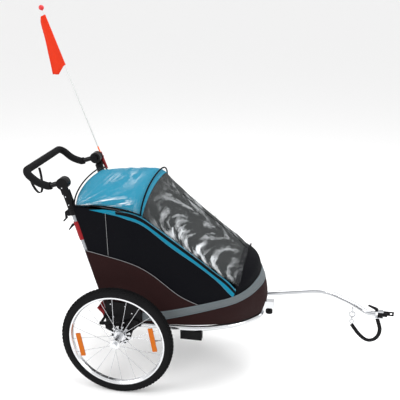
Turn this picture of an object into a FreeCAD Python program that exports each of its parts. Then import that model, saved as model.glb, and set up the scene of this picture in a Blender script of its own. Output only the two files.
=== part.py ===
"""Single-seat child bicycle trailer with a folding frame, as a parametric document.

Axes: +X towards the bicycle, +Y to the left, +Z up. The origin is on the ground under
the middle of the overall length. Millimetres and degrees.
"""
import FreeCAD, Part
import Sketcher
import math
import os
import re

V = FreeCAD.Vector
NODES = [
    "side_rails", "front_bow", "cross_tubes", "floor_tray", "seat_cushion", "backrest", "harness",
    "suspension_brackets", "drawbar_sockets", "front_receiver", "nose_shell", "nose_posts",
    "side_skirts", "side_panels", "canopy", "front_cover", "rain_cover", "drawbar_pin",
    "receiver_knob", "brake_pedal", "brake_shaft", "uprights", "rear_cross_tube", "latch_sleeves",
    "latch_lever_right", "latch_lever_left", "stem_clamps", "clamp_lever_right",
    "clamp_lever_left", "handle_stems", "flag_socket", "flag_pole", "pennant", "handlebar_tube",
    "handlebar_foam", "tilt_button_right", "tilt_button_left", "wrist_strap", "top_rails",
    "front_hoop", "tyre_right", "tyre_left", "rim_right", "rim_left", "spokes_right",
    "spokes_left", "hub_right", "hub_left", "reflectors_right", "reflectors_left",
    "swing_arm_right", "swing_arm_left", "elastomer_right", "elastomer_left", "drawbar_tube",
    "hitch_knuckle", "hitch_eye", "hitch_lever", "safety_strap", "snap_hook",
]

# Driving dimensions: alias, value. Places are measured from the point on the ground under the
# middle of the axle; "half" values are distances from the middle plane.
DIMENSIONS = [
    ("front_reach", 1190), ("rear_reach", 488),
    ("wheel_radius", 250), ("axle_level", 250), ("tyre_radius", 22), ("tyre_wall", 3.5),
    ("wheel_out", 95), ("hub_in", 47), ("hub_out", 137), ("tyre_depth", 37), ("rim_half_width", 15), ("rim_depth", 12), ("spoke_radius", 1.1),
    ("hub_radius", 14), ("flange_radius", 22),
    ("flange_wall", 4), ("brake_ring_radius", 46), ("brake_ring_wall", 5), ("ring_slot", 12), ("slot_depth", 18),
    ("cap_radius", 11), ("cap_wall", 6), ("axle_radius", 6), ("running_gap", 0.05),
    ("reflector_share", 0.743), ("reflector_long", 110), ("reflector_high", 20),
    ("reflector_wall", 7), ("reflector_gap", 11.8),
    ("rail_height", 285), ("rail_half", 215), ("rail_radius", 11), ("rail_wall", 1.5),
    ("rail_rear", 75), ("bow_start", 150), ("bow_front", 597), ("front_cross", 130),
    ("floor_wall", 3), ("floor_front", 560),
    ("bracket_wall", 6), ("swing_pivot_x", 62), ("swing_pivot_z", 300), ("swing_pin", 6),
    ("swing_wall", 10), ("swing_gap", 1), ("elastomer_radius", 9), ("elastomer_x", 62),
    ("elastomer_bottom", 288), ("elastomer_top", 318), ("seat_wall", 4),
    ("fold_back", 64), ("fold_height", 330), ("fold_pin", 5), ("lean", 16.5),
    ("skirt_play", 0.5), ("upright_radius", 12), ("upright_wall", 1.9), ("upright_long", 500),
    ("upright_eye", 14), ("cross_along", 200), ("cross_radius", 8),
    ("latch_along", 359), ("latch_long", 84), ("latch_wall", 3.5), ("lever_wall", 6),
    ("clamp_long", 26), ("clamp_wall", 5), ("stem_radius", 18), ("stem_insert", 150),
    ("slide_gap", 0.1), ("hub_along", 616), ("joint_radius", 26), ("joint_wall", 16),
    ("joint_gap", 0.5), ("bar_inset", 10), ("bar_radius", 11), ("foam_radius", 16.5),
    ("bar_reach", 176), ("bar_rise", 38), ("button_radius", 14), ("button_long", 9),
    ("flag_lean", 20.2), ("flag_out", 12.5), ("flag_top", 1607), ("pole_radius", 3.5), ("pole_long", 786),
    ("ball_radius", 12), ("socket_long", 85), ("socket_radius", 7.5), ("pennant_long", 170),
    ("pennant_high", 240), ("cloth_wall", 1),
    ("block_rear", 259), ("block_long", 95), ("block_inset", 14), ("block_wide", 30),
    ("block_bottom", 232), ("socket_gap", 0.1), ("drawbar_radius", 11), ("drawbar_wall", 2),
    ("drawbar_height", 253), ("hitch_y", 64), ("hitch_height", 290), ("hitch_yaw_x", 60),
    ("hitch_pitch_x", 38), ("hitch_eye_x", 12), ("ear_wall", 4), ("hitch_pin", 5),
    ("knuckle_radius", 12), ("eye_bore", 5.3), ("eye_wall", 5), ("eye_high", 20),
    ("receiver_long", 56), ("receiver_wide", 32), ("receiver_height", 329),
    ("receiver_bore", 11.1), ("knob_radius", 16), ("knob_long", 14), ("screw_radius", 4),
    ("brake_back", 88), ("brake_height", 300), ("brake_radius", 6), ("pedal_wide", 60),
    ("skirt_gap", 1), ("skirt_wall", 2.5), ("skirt_bottom", 300),
    ("hem_z", 830), ("roof_z", 915), ("roof_out", 3), ("roof_rear", 183), ("roof_front", 101),
    ("roof_wall", 3), ("nose_pivot_x", 530), ("nose_pivot_z", 490), ("nose_pivot_inset", 95),
    ("nose_front", 612), ("nose_top", 528), ("nose_wall", 4), ("toprail_radius", 7),
    ("toprail_inset", 33), ("elbow_x", 95), ("elbow_z", 790), ("hoop_radius", 4),
    ("hoop_top", 893), ("film_lift", 9), ("seat_inset", 50), ("seat_long", 250),
    ("seat_thick", 40), ("back_thick", 28), ("back_long", 440),
]

# Places and sizes that follow from the driving ones: each is a sum of terms.
DERIVED = {
    "wheel_half": ["rail_half", "wheel_out"],
    "hub_inner": ["rail_half", "hub_in"],
    "hub_outer": ["rail_half", "hub_out"],
    "rim_radius": ["wheel_radius", "-tyre_depth"],
    "upright_half": ["rail_half", "rail_radius", "-skirt_wall", "-skirt_play", "-skirt_gap",
                     "-upright_radius"],
    "bar_half": ["rail_half", "rail_radius", "-skirt_wall", "-skirt_play", "-skirt_gap",
                 "-upright_radius", "-bar_inset"],
    "block_half": ["rail_half", "-block_inset"],
    "bar_bore": ["drawbar_radius", "socket_gap"],
    "flag_half": ["rail_half", "rail_radius", "-skirt_wall", "-skirt_play", "-skirt_gap",
                  "-upright_radius", "-bar_inset", "bar_radius", "joint_gap", "joint_wall",
                  "flag_out"],
    "skirt_half": ["rail_half", "rail_radius", "-skirt_wall", "-skirt_play"],
    "roof_half": ["rail_half", "roof_out"],
    "nose_pivot_half": ["rail_half", "-nose_pivot_inset"],
    "toprail_half": ["rail_half", "-toprail_inset"],
    "seat_half": ["rail_half", "-seat_inset"],
    "lift": ["wheel_radius", "-axle_level"],
}

document = FreeCAD.newDocument("bicycle_trailer")
dims = document.addObject("Spreadsheet::Sheet", "dims")
for row, (alias, value) in enumerate(DIMENSIONS, start=1):
    dims.set("A%d" % row, alias.replace("_", " "))
    dims.set("B%d" % row, str(value))
    dims.setAlias("B%d" % row, alias)
document.recompute()

ALIAS = re.compile(r"\b(%s)\b" % "|".join(name for name, _ in DIMENSIONS))
SUMS = re.compile(r"\b(%s)\b" % "|".join(DERIVED))
AXLE_X = "(rear_reach - front_reach) / 2"
parts = {}


def size(name):
    """One driving or derived dimension as a number."""
    if name.startswith("-"):
        return -size(name[1:])
    if name in DERIVED:
        return sum(size(term) for term in DERIVED[name])
    return float(dims.get(name))


def bind(obj, prop, text):
    """Bind a property to a formula over the sheet's aliases."""
    spelled = SUMS.sub(lambda found: "(" + " + ".join(DERIVED[found.group(1)]) + ")", str(text))
    obj.setExpression(prop, ALIAS.sub(r"dims.\1", spelled.replace("+ -", "- ")))


def place(obj, x="0", y="0", z="0", turn=None):
    """Set an object's own place, measured inside its group."""
    if turn:
        obj.Placement = FreeCAD.Placement(V(), turn)
    for axis, text in zip("xyz", (x, y, z)):
        bind(obj, "Placement.Base." + axis, text)
    return obj


def stand(obj):
    """Put a finished group in the row's frame, its origin on the ground under the axle."""
    return place(obj, AXLE_X, "0", "lift")


def stand_leaning(obj):
    """Put a group drawn along the upright in the row's frame, at the fold pivot."""
    turn = FreeCAD.Rotation(V(0, -1, 0), size("lean"))
    place(obj, AXLE_X + " - fold_back", "0", "fold_height + lift", turn)
    bind(obj, "Placement.Rotation.Angle", "lean * 1 deg")
    return obj


TURNS = {"x": FreeCAD.Rotation(V(0, 1, 0), 90), "y": FreeCAD.Rotation(V(1, 0, 0), -90),
         "z": FreeCAD.Rotation()}


def cylinder(name, radius, length, x="0", y="0", z="0", along="z"):
    obj = document.addObject("Part::Cylinder", name)
    bind(obj, "Radius", radius)
    bind(obj, "Height", length)
    return place(obj, x, y, z, TURNS[along])


def box(name, length, width, height, x="0", y="0", z="0"):
    obj = document.addObject("Part::Box", name)
    for prop, text in (("Length", length), ("Width", width), ("Height", height)):
        bind(obj, prop, text)
    return place(obj, x, y, z)


def ring(name, major, minor, x="0", y="0", z="0", along="z"):
    obj = document.addObject("Part::Torus", name)
    bind(obj, "Radius1", major)
    bind(obj, "Radius2", minor)
    return place(obj, x, y, z, TURNS[along])


def cut(name, base, *tools):
    result = base
    for count, tool in enumerate(tools):
        obj = document.addObject("Part::Cut", name if count == len(tools) - 1 else name + "_step")
        obj.Base = result
        obj.Tool = tool
        result = obj
    return result


def fuse(name, *shapes):
    obj = document.addObject("Part::MultiFuse", name)
    obj.Shapes = list(shapes)
    return obj


def group(name, *shapes):
    """Several separate solids kept together."""
    obj = document.addObject("Part::Compound", name)
    obj.Links = list(shapes)
    return obj


def mirrored(name, source):
    obj = document.addObject("Part::Mirroring", name)
    obj.Source = source
    obj.Base = V(0, 0, 0)
    obj.Normal = V(0, 1, 0)
    return obj


def both_sides(name, source):
    return group(name, source, mirrored(name + "_other_side", source))


def own_shape(name, shape):
    obj = document.addObject("Part::Feature", name)
    obj.Shape = shape
    return obj


def keep(node, obj):
    obj.Label = node
    parts[node] = obj


def origin_plane(body, role):
    return [item for item in body.Origin.OriginFeatures if item.Role == role][0]


def outline(body, name, plane, points):
    """A closed polygon whose corners are formulas over the sheet."""
    sketch = body.newObject("Sketcher::SketchObject", name)
    sketch.AttachmentSupport = [(origin_plane(body, plane), "")]
    sketch.MapMode = "FlatFace"
    count = len(points)
    corners = [V(100 * math.cos(2 * math.pi * i / count), 100 * math.sin(2 * math.pi * i / count))
               for i in range(count)]
    for i in range(count):
        sketch.addGeometry(Part.LineSegment(corners[i], corners[(i + 1) % count]))
    for i in range(count):
        sketch.addConstraint(Sketcher.Constraint("Coincident", i, 2, (i + 1) % count, 1))
    for i, (across, up) in enumerate(points):
        for kind, text, now in (("DistanceX", across, corners[i].x), ("DistanceY", up, corners[i].y)):
            index = sketch.addConstraint(Sketcher.Constraint(kind, -1, 1, i, 1, now))
            bind(sketch, "Constraints[%d]" % index, text)
    return sketch


def plate(name, plane, points, thickness, x="0", y="0", z="0"):
    """A flat piece padded from a polygon; on XZ the pad grows towards -Y."""
    body = document.addObject("PartDesign::Body", name)
    sketch = outline(body, name + "_outline", plane, points)
    pad = body.newObject("PartDesign::Pad", name + "_pad")
    pad.Profile = sketch
    bind(pad, "Length", thickness)
    return place(body, x, y, z)


def turned(name, points, x="0", y="0", z="0"):
    """A piece turned about Y; each corner is (radius, place along Y)."""
    body = document.addObject("PartDesign::Body", name)
    sketch = outline(body, name + "_profile", "XY_Plane", points)
    turn = body.newObject("PartDesign::Revolution", name + "_turn")
    turn.Profile = sketch
    turn.ReferenceAxis = (sketch, ["V_Axis"])
    turn.Angle = 360
    return place(body, x, y, z)


def rounded_path(points):
    """Straight runs joined by arcs, each arc as large as its two runs allow."""
    points = [V(*point) for point in points]
    edges, start, radii = [], points[0], []
    for before, here, after in zip(points, points[1:], points[2:]):
        back, ahead = before - here, after - here
        half = (math.pi - back.getAngle(ahead)) / 2
        reach = 0.45 * min(back.Length, ahead.Length)
        radii.append(reach / math.tan(half))
        into = here + back.normalize() * reach
        out = here + ahead.normalize() * reach
        inward = (back + ahead).normalize()
        middle = here + inward * (radii[-1] / math.cos(half) - radii[-1])
        edges += [Part.makeLine(start, into), Part.Arc(into, middle, out).toShape()]
        start = out
    edges.append(Part.makeLine(start, points[-1]))
    return Part.Wire(edges), radii


def bent_rod(points, radius):
    path, radii = rounded_path(points)
    first = path.Edges[0]
    circle = Part.makeCircle(radius, first.firstVertex().Point, first.tangentAt(first.FirstParameter))
    return path.makePipeShell([Part.Wire(circle)], True, False), path, radii


def bent_tube(points, radius, wall):
    outer = bent_rod(points, radius)[0]
    return outer.cut(bent_rod(points, radius - wall)[0])


def arch(x, half, foot, top, wall):
    """A closed band over the cabin at one place along X: outer arc, inner arc and two hems."""
    outer = Part.Arc(V(x, -half, foot), V(x, 0, top), V(x, half, foot)).toShape()
    inner_half, inner_top = half - wall, top - wall
    inner = Part.Arc(V(x, inner_half, foot), V(x, 0, inner_top), V(x, -inner_half, foot)).toShape()
    left = Part.makeLine(V(x, half, foot), V(x, inner_half, foot))
    right = Part.makeLine(V(x, -inner_half, foot), V(x, -half, foot))
    return Part.Wire([outer, left, inner, right])


def skin(sections):
    return Part.makeLoft([arch(*section) for section in sections], True, True)


# ---------------------------------------------------------------- base frame
def make_base_frame():
    """Two straight side rails, a bow bent round the nose and two cross tubes between the rails."""
    rail = cylinder("rail_outside", "rail_radius", "bow_start + rail_rear",
                    "-rail_rear", "-rail_half", "rail_height", "x")
    bore = cylinder("rail_bore", "rail_radius - rail_wall", "bow_start + rail_rear",
                    "-rail_rear", "-rail_half", "rail_height", "x")
    keep("side_rails", stand(both_sides("side_rails", cut("side_rail", rail, bore))))

    half, level = size("rail_half"), size("rail_height")
    start, nose = size("bow_start"), size("bow_front")
    right = [(start, -half, level), (start + 75, -half, level), (nose - 240, 10 - half, level),
             (nose - 85, 80 - half, level), (nose, 175 - half, level)]
    left = [(x, -y, z) for x, y, z in reversed(right)]
    bow = own_shape("front_bow", bent_tube(right + left, size("rail_radius"), size("rail_wall")))
    keep("front_bow", stand(bow))

    beams = []
    for name, x in (("axle_cross_tube", "0"), ("front_cross_tube", "front_cross")):
        beam = cylinder(name, "rail_radius - 1", "2 * rail_half", x, "-rail_half", "rail_height", "y")
        saddles = [cylinder(name + side, "rail_radius", "bow_start + rail_rear", "-rail_rear",
                            sign + "rail_half", "rail_height", "x")
                   for side, sign in (("_right_saddle", "-"), ("_left_saddle", ""))]
        beams.append(cut(name + "_fitted", beam, *saddles))
    keep("cross_tubes", stand(group("cross_tubes", *beams)))


def make_floor():
    """A stiff tray that lies on the rails and reaches into the foot well."""
    corners = [("-rail_rear", "rail_half - 5"), ("bow_start + 60", "rail_half - 5"),
               ("bow_front - 250", "rail_half - 25"), ("bow_front - 120", "rail_half - 70"),
               ("floor_front", "rail_half - 150")]
    points = corners + [(x, "-(" + y + ")") for x, y in reversed(corners)]
    keep("floor_tray", stand(group("floor_tray", plate(
        "tray", "XY_Plane", points, "floor_wall", z="rail_height + rail_radius"))))


# ---------------------------------------------------------------- suspension and wheels
def make_suspension():
    """Fixed bracket plates, sprung swing arms with stub axles, and rubber bumpers."""
    face = "rail_half + rail_radius"
    points = [("-fold_back - 20", "fold_height - 12"), ("-fold_back - 6", "fold_height - 22"),
              ("-30", "swing_pivot_z"), ("40", "swing_pivot_z - 24"),
              ("swing_pivot_x + 22", "swing_pivot_z - 18"), ("swing_pivot_x + 28", "345"),
              ("swing_pivot_x + 19", "386"), ("-fold_back - 2", "395")]
    blade = plate("bracket_blade", "XZ_Plane", points, "bracket_wall", y="-(%s)" % face)
    fold_pin = cylinder("fold_pin", "fold_pin", face + " - upright_half + upright_eye",
                        "-fold_back", "-(%s) - 1" % face, "fold_height", "y")
    swing_pin = cylinder("swing_pin", "swing_pin", "swing_wall + swing_gap + 2", "swing_pivot_x",
                         "-(%s) - bracket_wall - swing_gap - swing_wall" % face,
                         "swing_pivot_z", "y")
    ledge = box("bumper_ledge", "2 * elastomer_radius + 6", "bracket_wall + 19", "seat_wall",
                "-elastomer_x - elastomer_radius - 3", "-(%s) - bracket_wall - 19" % face,
                "elastomer_top")
    bracket = fuse("suspension_bracket", blade, fold_pin, swing_pin, ledge)
    keep("suspension_brackets", stand(both_sides("suspension_brackets", bracket)))

    arm_face = "(%s + bracket_wall + swing_gap)" % face
    arm_points = [("swing_pivot_x + 22", "296"), ("swing_pivot_x + 12", "314"),
                  ("swing_pivot_x - 10", "318"), ("0", "300"), ("-42", "284"),
                  ("-76", "284"), ("-74", "262"), ("-52", "250"), ("-42", "222"), ("-12", "196"),
                  ("18", "198"), ("38", "222"), ("50", "262")]
    arm = plate("arm_blade", "XZ_Plane", arm_points, "swing_wall", y="-" + arm_face)
    hole = cylinder("arm_hole", "swing_pin + running_gap", "3 * swing_wall", "swing_pivot_x",
                    "-%s - 2 * swing_wall" % arm_face, "swing_pivot_z", "y")
    stub = cylinder("stub_axle", "axle_radius", "hub_outer - %s - 2" % arm_face, "0",
                    "-hub_outer + 2", "axle_level", "y")
    shelf = box("bumper_shelf", "2 * elastomer_radius + 6", "swing_wall + 9", "seat_wall",
                "-elastomer_x - elastomer_radius - 3", "-%s - swing_wall - 9" % arm_face,
                "elastomer_bottom - seat_wall")
    arm = fuse("arm_with_axle", cut("arm_drilled", arm, hole), stub, shelf)
    keep("swing_arm_right", stand(group("swing_arm_right", arm)))
    keep("swing_arm_left", stand(group("swing_arm_left", mirrored("arm_left", arm))))

    bumper = cylinder("bumper", "elastomer_radius", "elastomer_top - elastomer_bottom",
                      "-elastomer_x", "-%s - elastomer_radius" % arm_face, "elastomer_bottom")
    keep("elastomer_right", stand(group("elastomer_right", bumper)))
    keep("elastomer_left", stand(group("elastomer_left", mirrored("bumper_left", bumper))))


def make_tyre():
    crown = "(wheel_radius - tyre_radius)"
    casing = ring("tyre_casing", crown, "tyre_radius", along="y")
    air = ring("tyre_air", crown, "tyre_radius - tyre_wall", along="y")
    mouth = cylinder("tyre_mouth", "rim_radius", "3 * tyre_radius", y="-1.5 * tyre_radius", along="y")
    return cut("tyre", casing, air, mouth)


def make_rim():
    points = [("rim_radius", "-rim_half_width"), ("rim_radius - 6", "-rim_half_width"),
              ("rim_radius - rim_depth", "-rim_half_width + 7"),
              ("rim_radius - rim_depth", "rim_half_width - 7"),
              ("rim_radius - 6", "rim_half_width"), ("rim_radius", "rim_half_width"),
              ("rim_radius", "rim_half_width - 2"), ("rim_radius - 4", "rim_half_width - 4"),
              ("rim_radius - 4", "4 - rim_half_width"), ("rim_radius", "2 - rim_half_width")]
    return turned("rim", points)


def make_hub():
    """Shell with two spoke flanges, a slotted brake ring inside and a cap outside."""
    inner, outer = "(wheel_half - hub_inner)", "(wheel_half - hub_outer)"
    bore = "(axle_radius + running_gap)"
    points = [(bore, inner), ("brake_ring_radius", inner),
              ("brake_ring_radius", inner + " - brake_ring_wall"),
              ("hub_radius", inner + " - brake_ring_wall"), ("hub_radius", inner + " - 10"),
              ("flange_radius", inner + " - 10"), ("flange_radius", inner + " - 10 - flange_wall"),
              ("hub_radius", inner + " - 10 - flange_wall"), ("hub_radius", outer + " + 10"),
              ("flange_radius", outer + " + 10"), ("flange_radius", outer + " + 10 - flange_wall"),
              ("cap_radius", outer + " + 10 - flange_wall"), ("cap_radius", outer + " - cap_wall"),
              ("0", outer + " - cap_wall"), ("0", outer), (bore, outer)]
    body = turned("hub", points)
    document.recompute()
    slot = outline(body, "slot_outline", "XZ_Plane", [
        ("brake_ring_radius - slot_depth", "-ring_slot / 2"), ("brake_ring_radius + 2", "-ring_slot / 2"),
        ("brake_ring_radius + 2", "ring_slot / 2"), ("brake_ring_radius - slot_depth", "ring_slot / 2")])
    pocket = body.newObject("PartDesign::Pocket", "slot_pocket")
    pocket.Profile = slot
    pocket.Midplane = False
    pocket.Reversed = False
    bind(pocket, "Length", inner + " + 5")
    document.recompute()
    pattern = body.newObject("PartDesign::PolarPattern", "slot_pattern")
    pattern.Originals = [pocket]
    pattern.Axis = (slot, ["N_Axis"])
    pattern.Angle = 360
    pattern.Occurrences = 12
    body.Tip = pattern
    return body


def spoke_shape():
    """Twenty straight spokes, every second one from the outer flange."""
    spokes = []
    inner = size("wheel_half") - size("hub_inner") - 10 - size("flange_wall") / 2
    outer = size("wheel_half") - size("hub_outer") + 10 - size("flange_wall") / 2
    far = size("rim_radius") - size("rim_depth")
    for index in range(20):
        angle = math.radians(18 * index + 4)
        flange = outer if index % 2 else inner
        rim_side = 3 if flange > 0 else -3
        foot = V(size("flange_radius") * math.cos(angle), flange, size("flange_radius") * math.sin(angle))
        head = V(far * math.cos(angle), rim_side, far * math.sin(angle))
        spokes.append(Part.makeCylinder(size("spoke_radius"), (head - foot).Length, foot, head - foot))
    trim = Part.makeCylinder(far, 200, V(0, -100, 0), V(0, 1, 0))
    trim = trim.cut(Part.makeCylinder(size("flange_radius"), 200, V(0, -100, 0), V(0, 1, 0)))
    return Part.makeCompound([spoke.common(trim) for spoke in spokes])


def make_wheels():
    """Two wheels, each drawn about its own centre and set on its stub axle."""
    reflectors = []
    for name, degrees in (("front", 10), ("rear", 190)):
        plaque = document.addObject("Part::Box", "reflector_" + name)
        bind(plaque, "Length", "reflector_high")
        bind(plaque, "Width", "reflector_wall")
        bind(plaque, "Height", "reflector_long")
        middle = "(flange_radius + (rim_radius - rim_depth - flange_radius) * reflector_share)"
        turn = FreeCAD.Rotation(V(0, -1, 0), degrees)
        place(plaque, "%s * cos(%d deg) + reflector_long / 2 * sin(%d deg)" % (middle, degrees, degrees),
              "-reflector_gap - reflector_wall",
              "%s * sin(%d deg) - reflector_long / 2 * cos(%d deg)" % (middle, degrees, degrees), turn)
        reflectors.append(plaque)
    pieces = {"tyre": make_tyre(), "rim": make_rim(), "hub": make_hub(),
              "spokes": own_shape("spoke_set", spoke_shape()),
              "reflectors": group("reflector_pair", *reflectors)}
    for node, piece in pieces.items():
        right = place(group(node + "_right_wheel", piece), "0", "-wheel_half", "axle_level")
        keep(node + "_right", stand(group(node + "_right", right)))
        keep(node + "_left", stand(group(node + "_left", mirrored(node + "_left_wheel", right))))


def make_parking_brake():
    """A cross shaft with a pawl at each end, turned by a red foot pedal."""
    span = "(hub_inner + brake_ring_wall - 0.5)"
    shaft = cylinder("brake_bar", "brake_radius", "2 * " + span, "-brake_back", "-" + span,
                     "brake_height", "y")
    pawl_points = [("-7", "-6"), ("8", "-7"), ("60", "6"), ("80", "13.5"),
                   ("brake_back - 1.8", "13.5"), ("brake_back - 1.8", "6"), ("brake_back + 1.2", "6"),
                   ("brake_back + 1.2", "21"), ("60", "15"), ("-4", "8")]
    pawl = plate("pawl", "XZ_Plane", pawl_points, "brake_ring_wall - 1", "-brake_back",
                 "-hub_inner - 0.5", "brake_height")
    keep("brake_shaft", stand(fuse("brake_shaft", shaft, pawl, mirrored("pawl_left", pawl))))
    pedal_points = [("-14", "-10"), ("9", "-10"), ("10", "10"), ("-4", "14"), ("-38", "34"),
                    ("-44", "28"), ("-20", "4")]
    pedal = plate("pedal_blade", "XZ_Plane", pedal_points, "pedal_wide", "-brake_back",
                  "-rail_half + 30 + pedal_wide", "brake_height")
    hole = cylinder("pedal_hole", "brake_radius", "3 * pedal_wide", "-brake_back",
                    "-rail_half - pedal_wide", "brake_height", "y")
    keep("brake_pedal", stand(cut("brake_pedal", pedal, hole)))


# ---------------------------------------------------------------- drawbar and hitch
def make_sockets():
    """Blocks under the rails that take the drawbar, and the receiver at the nose."""
    level = "(rail_height - rail_radius)"
    block = box("socket_block", "block_long", "block_wide", level + " - block_bottom", "block_rear",
                "-block_half - block_wide / 2", "block_bottom")
    bore = cylinder("socket_bore", "bar_bore", "block_long + 2", "block_rear - 1", "-block_half",
                    "drawbar_height", "x")
    keep("drawbar_sockets", stand(both_sides("drawbar_sockets", cut("drawbar_socket", block, bore))))

    rear = "(bow_front + rail_radius - 12)"
    tube = box("receiver_tube", "receiver_long", "receiver_wide", "receiver_wide", rear,
               "-receiver_wide / 2", "receiver_height - receiver_wide / 2")
    mouth = cylinder("receiver_mouth", "receiver_bore", "receiver_long + 2", rear + " - 1", "0",
                     "receiver_height", "x")
    foot = box("receiver_foot", "16", "24", "receiver_height - receiver_wide / 2 - rail_height + 1",
               rear, "-12", "rail_height")
    bow = cylinder("receiver_saddle", "rail_radius", "60", "bow_front", "-30", "rail_height", "y")
    keep("front_receiver", stand(cut("front_receiver", fuse("receiver_solid", tube, foot), mouth, bow)))
    under = "(receiver_height - receiver_wide / 2)"
    head = cylinder("knob_head", "knob_radius", "knob_long", rear + " + receiver_long / 2 + 6", "0",
                    under + " - knob_long - 16")
    screw = cylinder("knob_screw", "screw_radius", "16 - joint_gap", rear + " + receiver_long / 2 + 6",
                     "0", under + " - 16")
    keep("receiver_knob", stand(fuse("receiver_knob", head, screw)))

    outside = "(block_half + block_wide / 2)"
    knob = cylinder("pin_knob", "9", "14", "block_rear + block_long / 2", outside + " + joint_gap",
                    "drawbar_height", "y")
    keep("drawbar_pin", stand(group("drawbar_pin", knob)))


def make_drawbar():
    """A bent tube from the left socket to the hitch, ending in two ears."""
    side, level = size("block_half"), size("drawbar_height")
    tip, y, z = size("front_reach") - size("hitch_yaw_x"), size("hitch_y"), size("hitch_height")
    rear = size("block_rear") + 3
    points = [(rear, side, level), (rear + 200, side, level), (rear + 617, side + 12, z + 24),
              (tip - 125, y + 66, z + 12), (tip - 60, y + 6, z), (tip - 22, y, z)]
    tube = own_shape("drawbar_bend", bent_tube(points, size("drawbar_radius"), size("drawbar_wall")))
    yaw, half = "(front_reach - hitch_yaw_x)", "knuckle_radius"
    gap = "(knuckle_radius + 1)"
    web = box("ear_web", "6", "2 * " + half, "2 * (%s + ear_wall)" % gap, yaw + " - 26",
              "hitch_y - " + half, "hitch_height - %s - ear_wall" % gap)
    top = box("ear_top", "26 + knuckle_radius", "2 * " + half, "ear_wall", yaw + " - 26",
              "hitch_y - " + half, "hitch_height + " + gap)
    low = box("ear_low", "26 + knuckle_radius", "2 * " + half, "ear_wall", yaw + " - 26",
              "hitch_y - " + half, "hitch_height - %s - ear_wall" % gap)
    pin = cylinder("yaw_pin", "hitch_pin", "2 * (%s + ear_wall)" % gap, yaw, "hitch_y",
                   "hitch_height - %s - ear_wall" % gap)
    keep("drawbar_tube", stand(fuse("drawbar_tube", tube, web, top, low, pin)))

    barrel = cylinder("knuckle_barrel", "knuckle_radius", "2 * knuckle_radius + 1.4", yaw, "hitch_y",
                      "hitch_height - knuckle_radius - 0.7")
    neck = box("knuckle_neck", "hitch_yaw_x - hitch_pitch_x + 8", "16", "16", yaw,
               "hitch_y - 8", "hitch_height - 8")
    bore = cylinder("knuckle_bore", "hitch_pin + running_gap", "4 * knuckle_radius", yaw, "hitch_y",
                    "hitch_height - 2 * knuckle_radius")
    cross = cylinder("knuckle_cross_bore", "hitch_pin - 1 + running_gap", "30",
                     "front_reach - hitch_pitch_x", "hitch_y - 15", "hitch_height", "y")
    keep("hitch_knuckle", stand(cut("hitch_knuckle", fuse("knuckle_solid", barrel, neck), bore, cross)))

    cheek = box("eye_cheek", "hitch_pitch_x + 8", "eye_wall", "eye_high",
                "front_reach - hitch_pitch_x - 8", "hitch_y + 8.5", "hitch_height - eye_high / 2")
    pin = cylinder("pitch_pin", "hitch_pin - 1", "17 + eye_wall", "front_reach - hitch_pitch_x",
                   "hitch_y - 8.5", "hitch_height", "y")
    hole = cylinder("eye_hole", "eye_bore", "30", "front_reach - hitch_eye_x", "hitch_y - 10",
                    "hitch_height", "y")
    keep("hitch_eye", stand(cut("hitch_eye", fuse("eye_plate", cheek, pin), hole)))

    lift = "hitch_height + %s + ear_wall + joint_gap" % gap
    lever = plate("lever_blade", "XZ_Plane", [("1", "1"), ("7", "1"), ("9", "5"), ("7", "9"), ("-4", "14"),
                                              ("-34", "24"), ("-37", "20"), ("-10", "7")],
                  "12", yaw + " - 20", "hitch_y + 6", lift)
    keep("hitch_lever", stand(group("hitch_lever", lever)))


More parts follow.
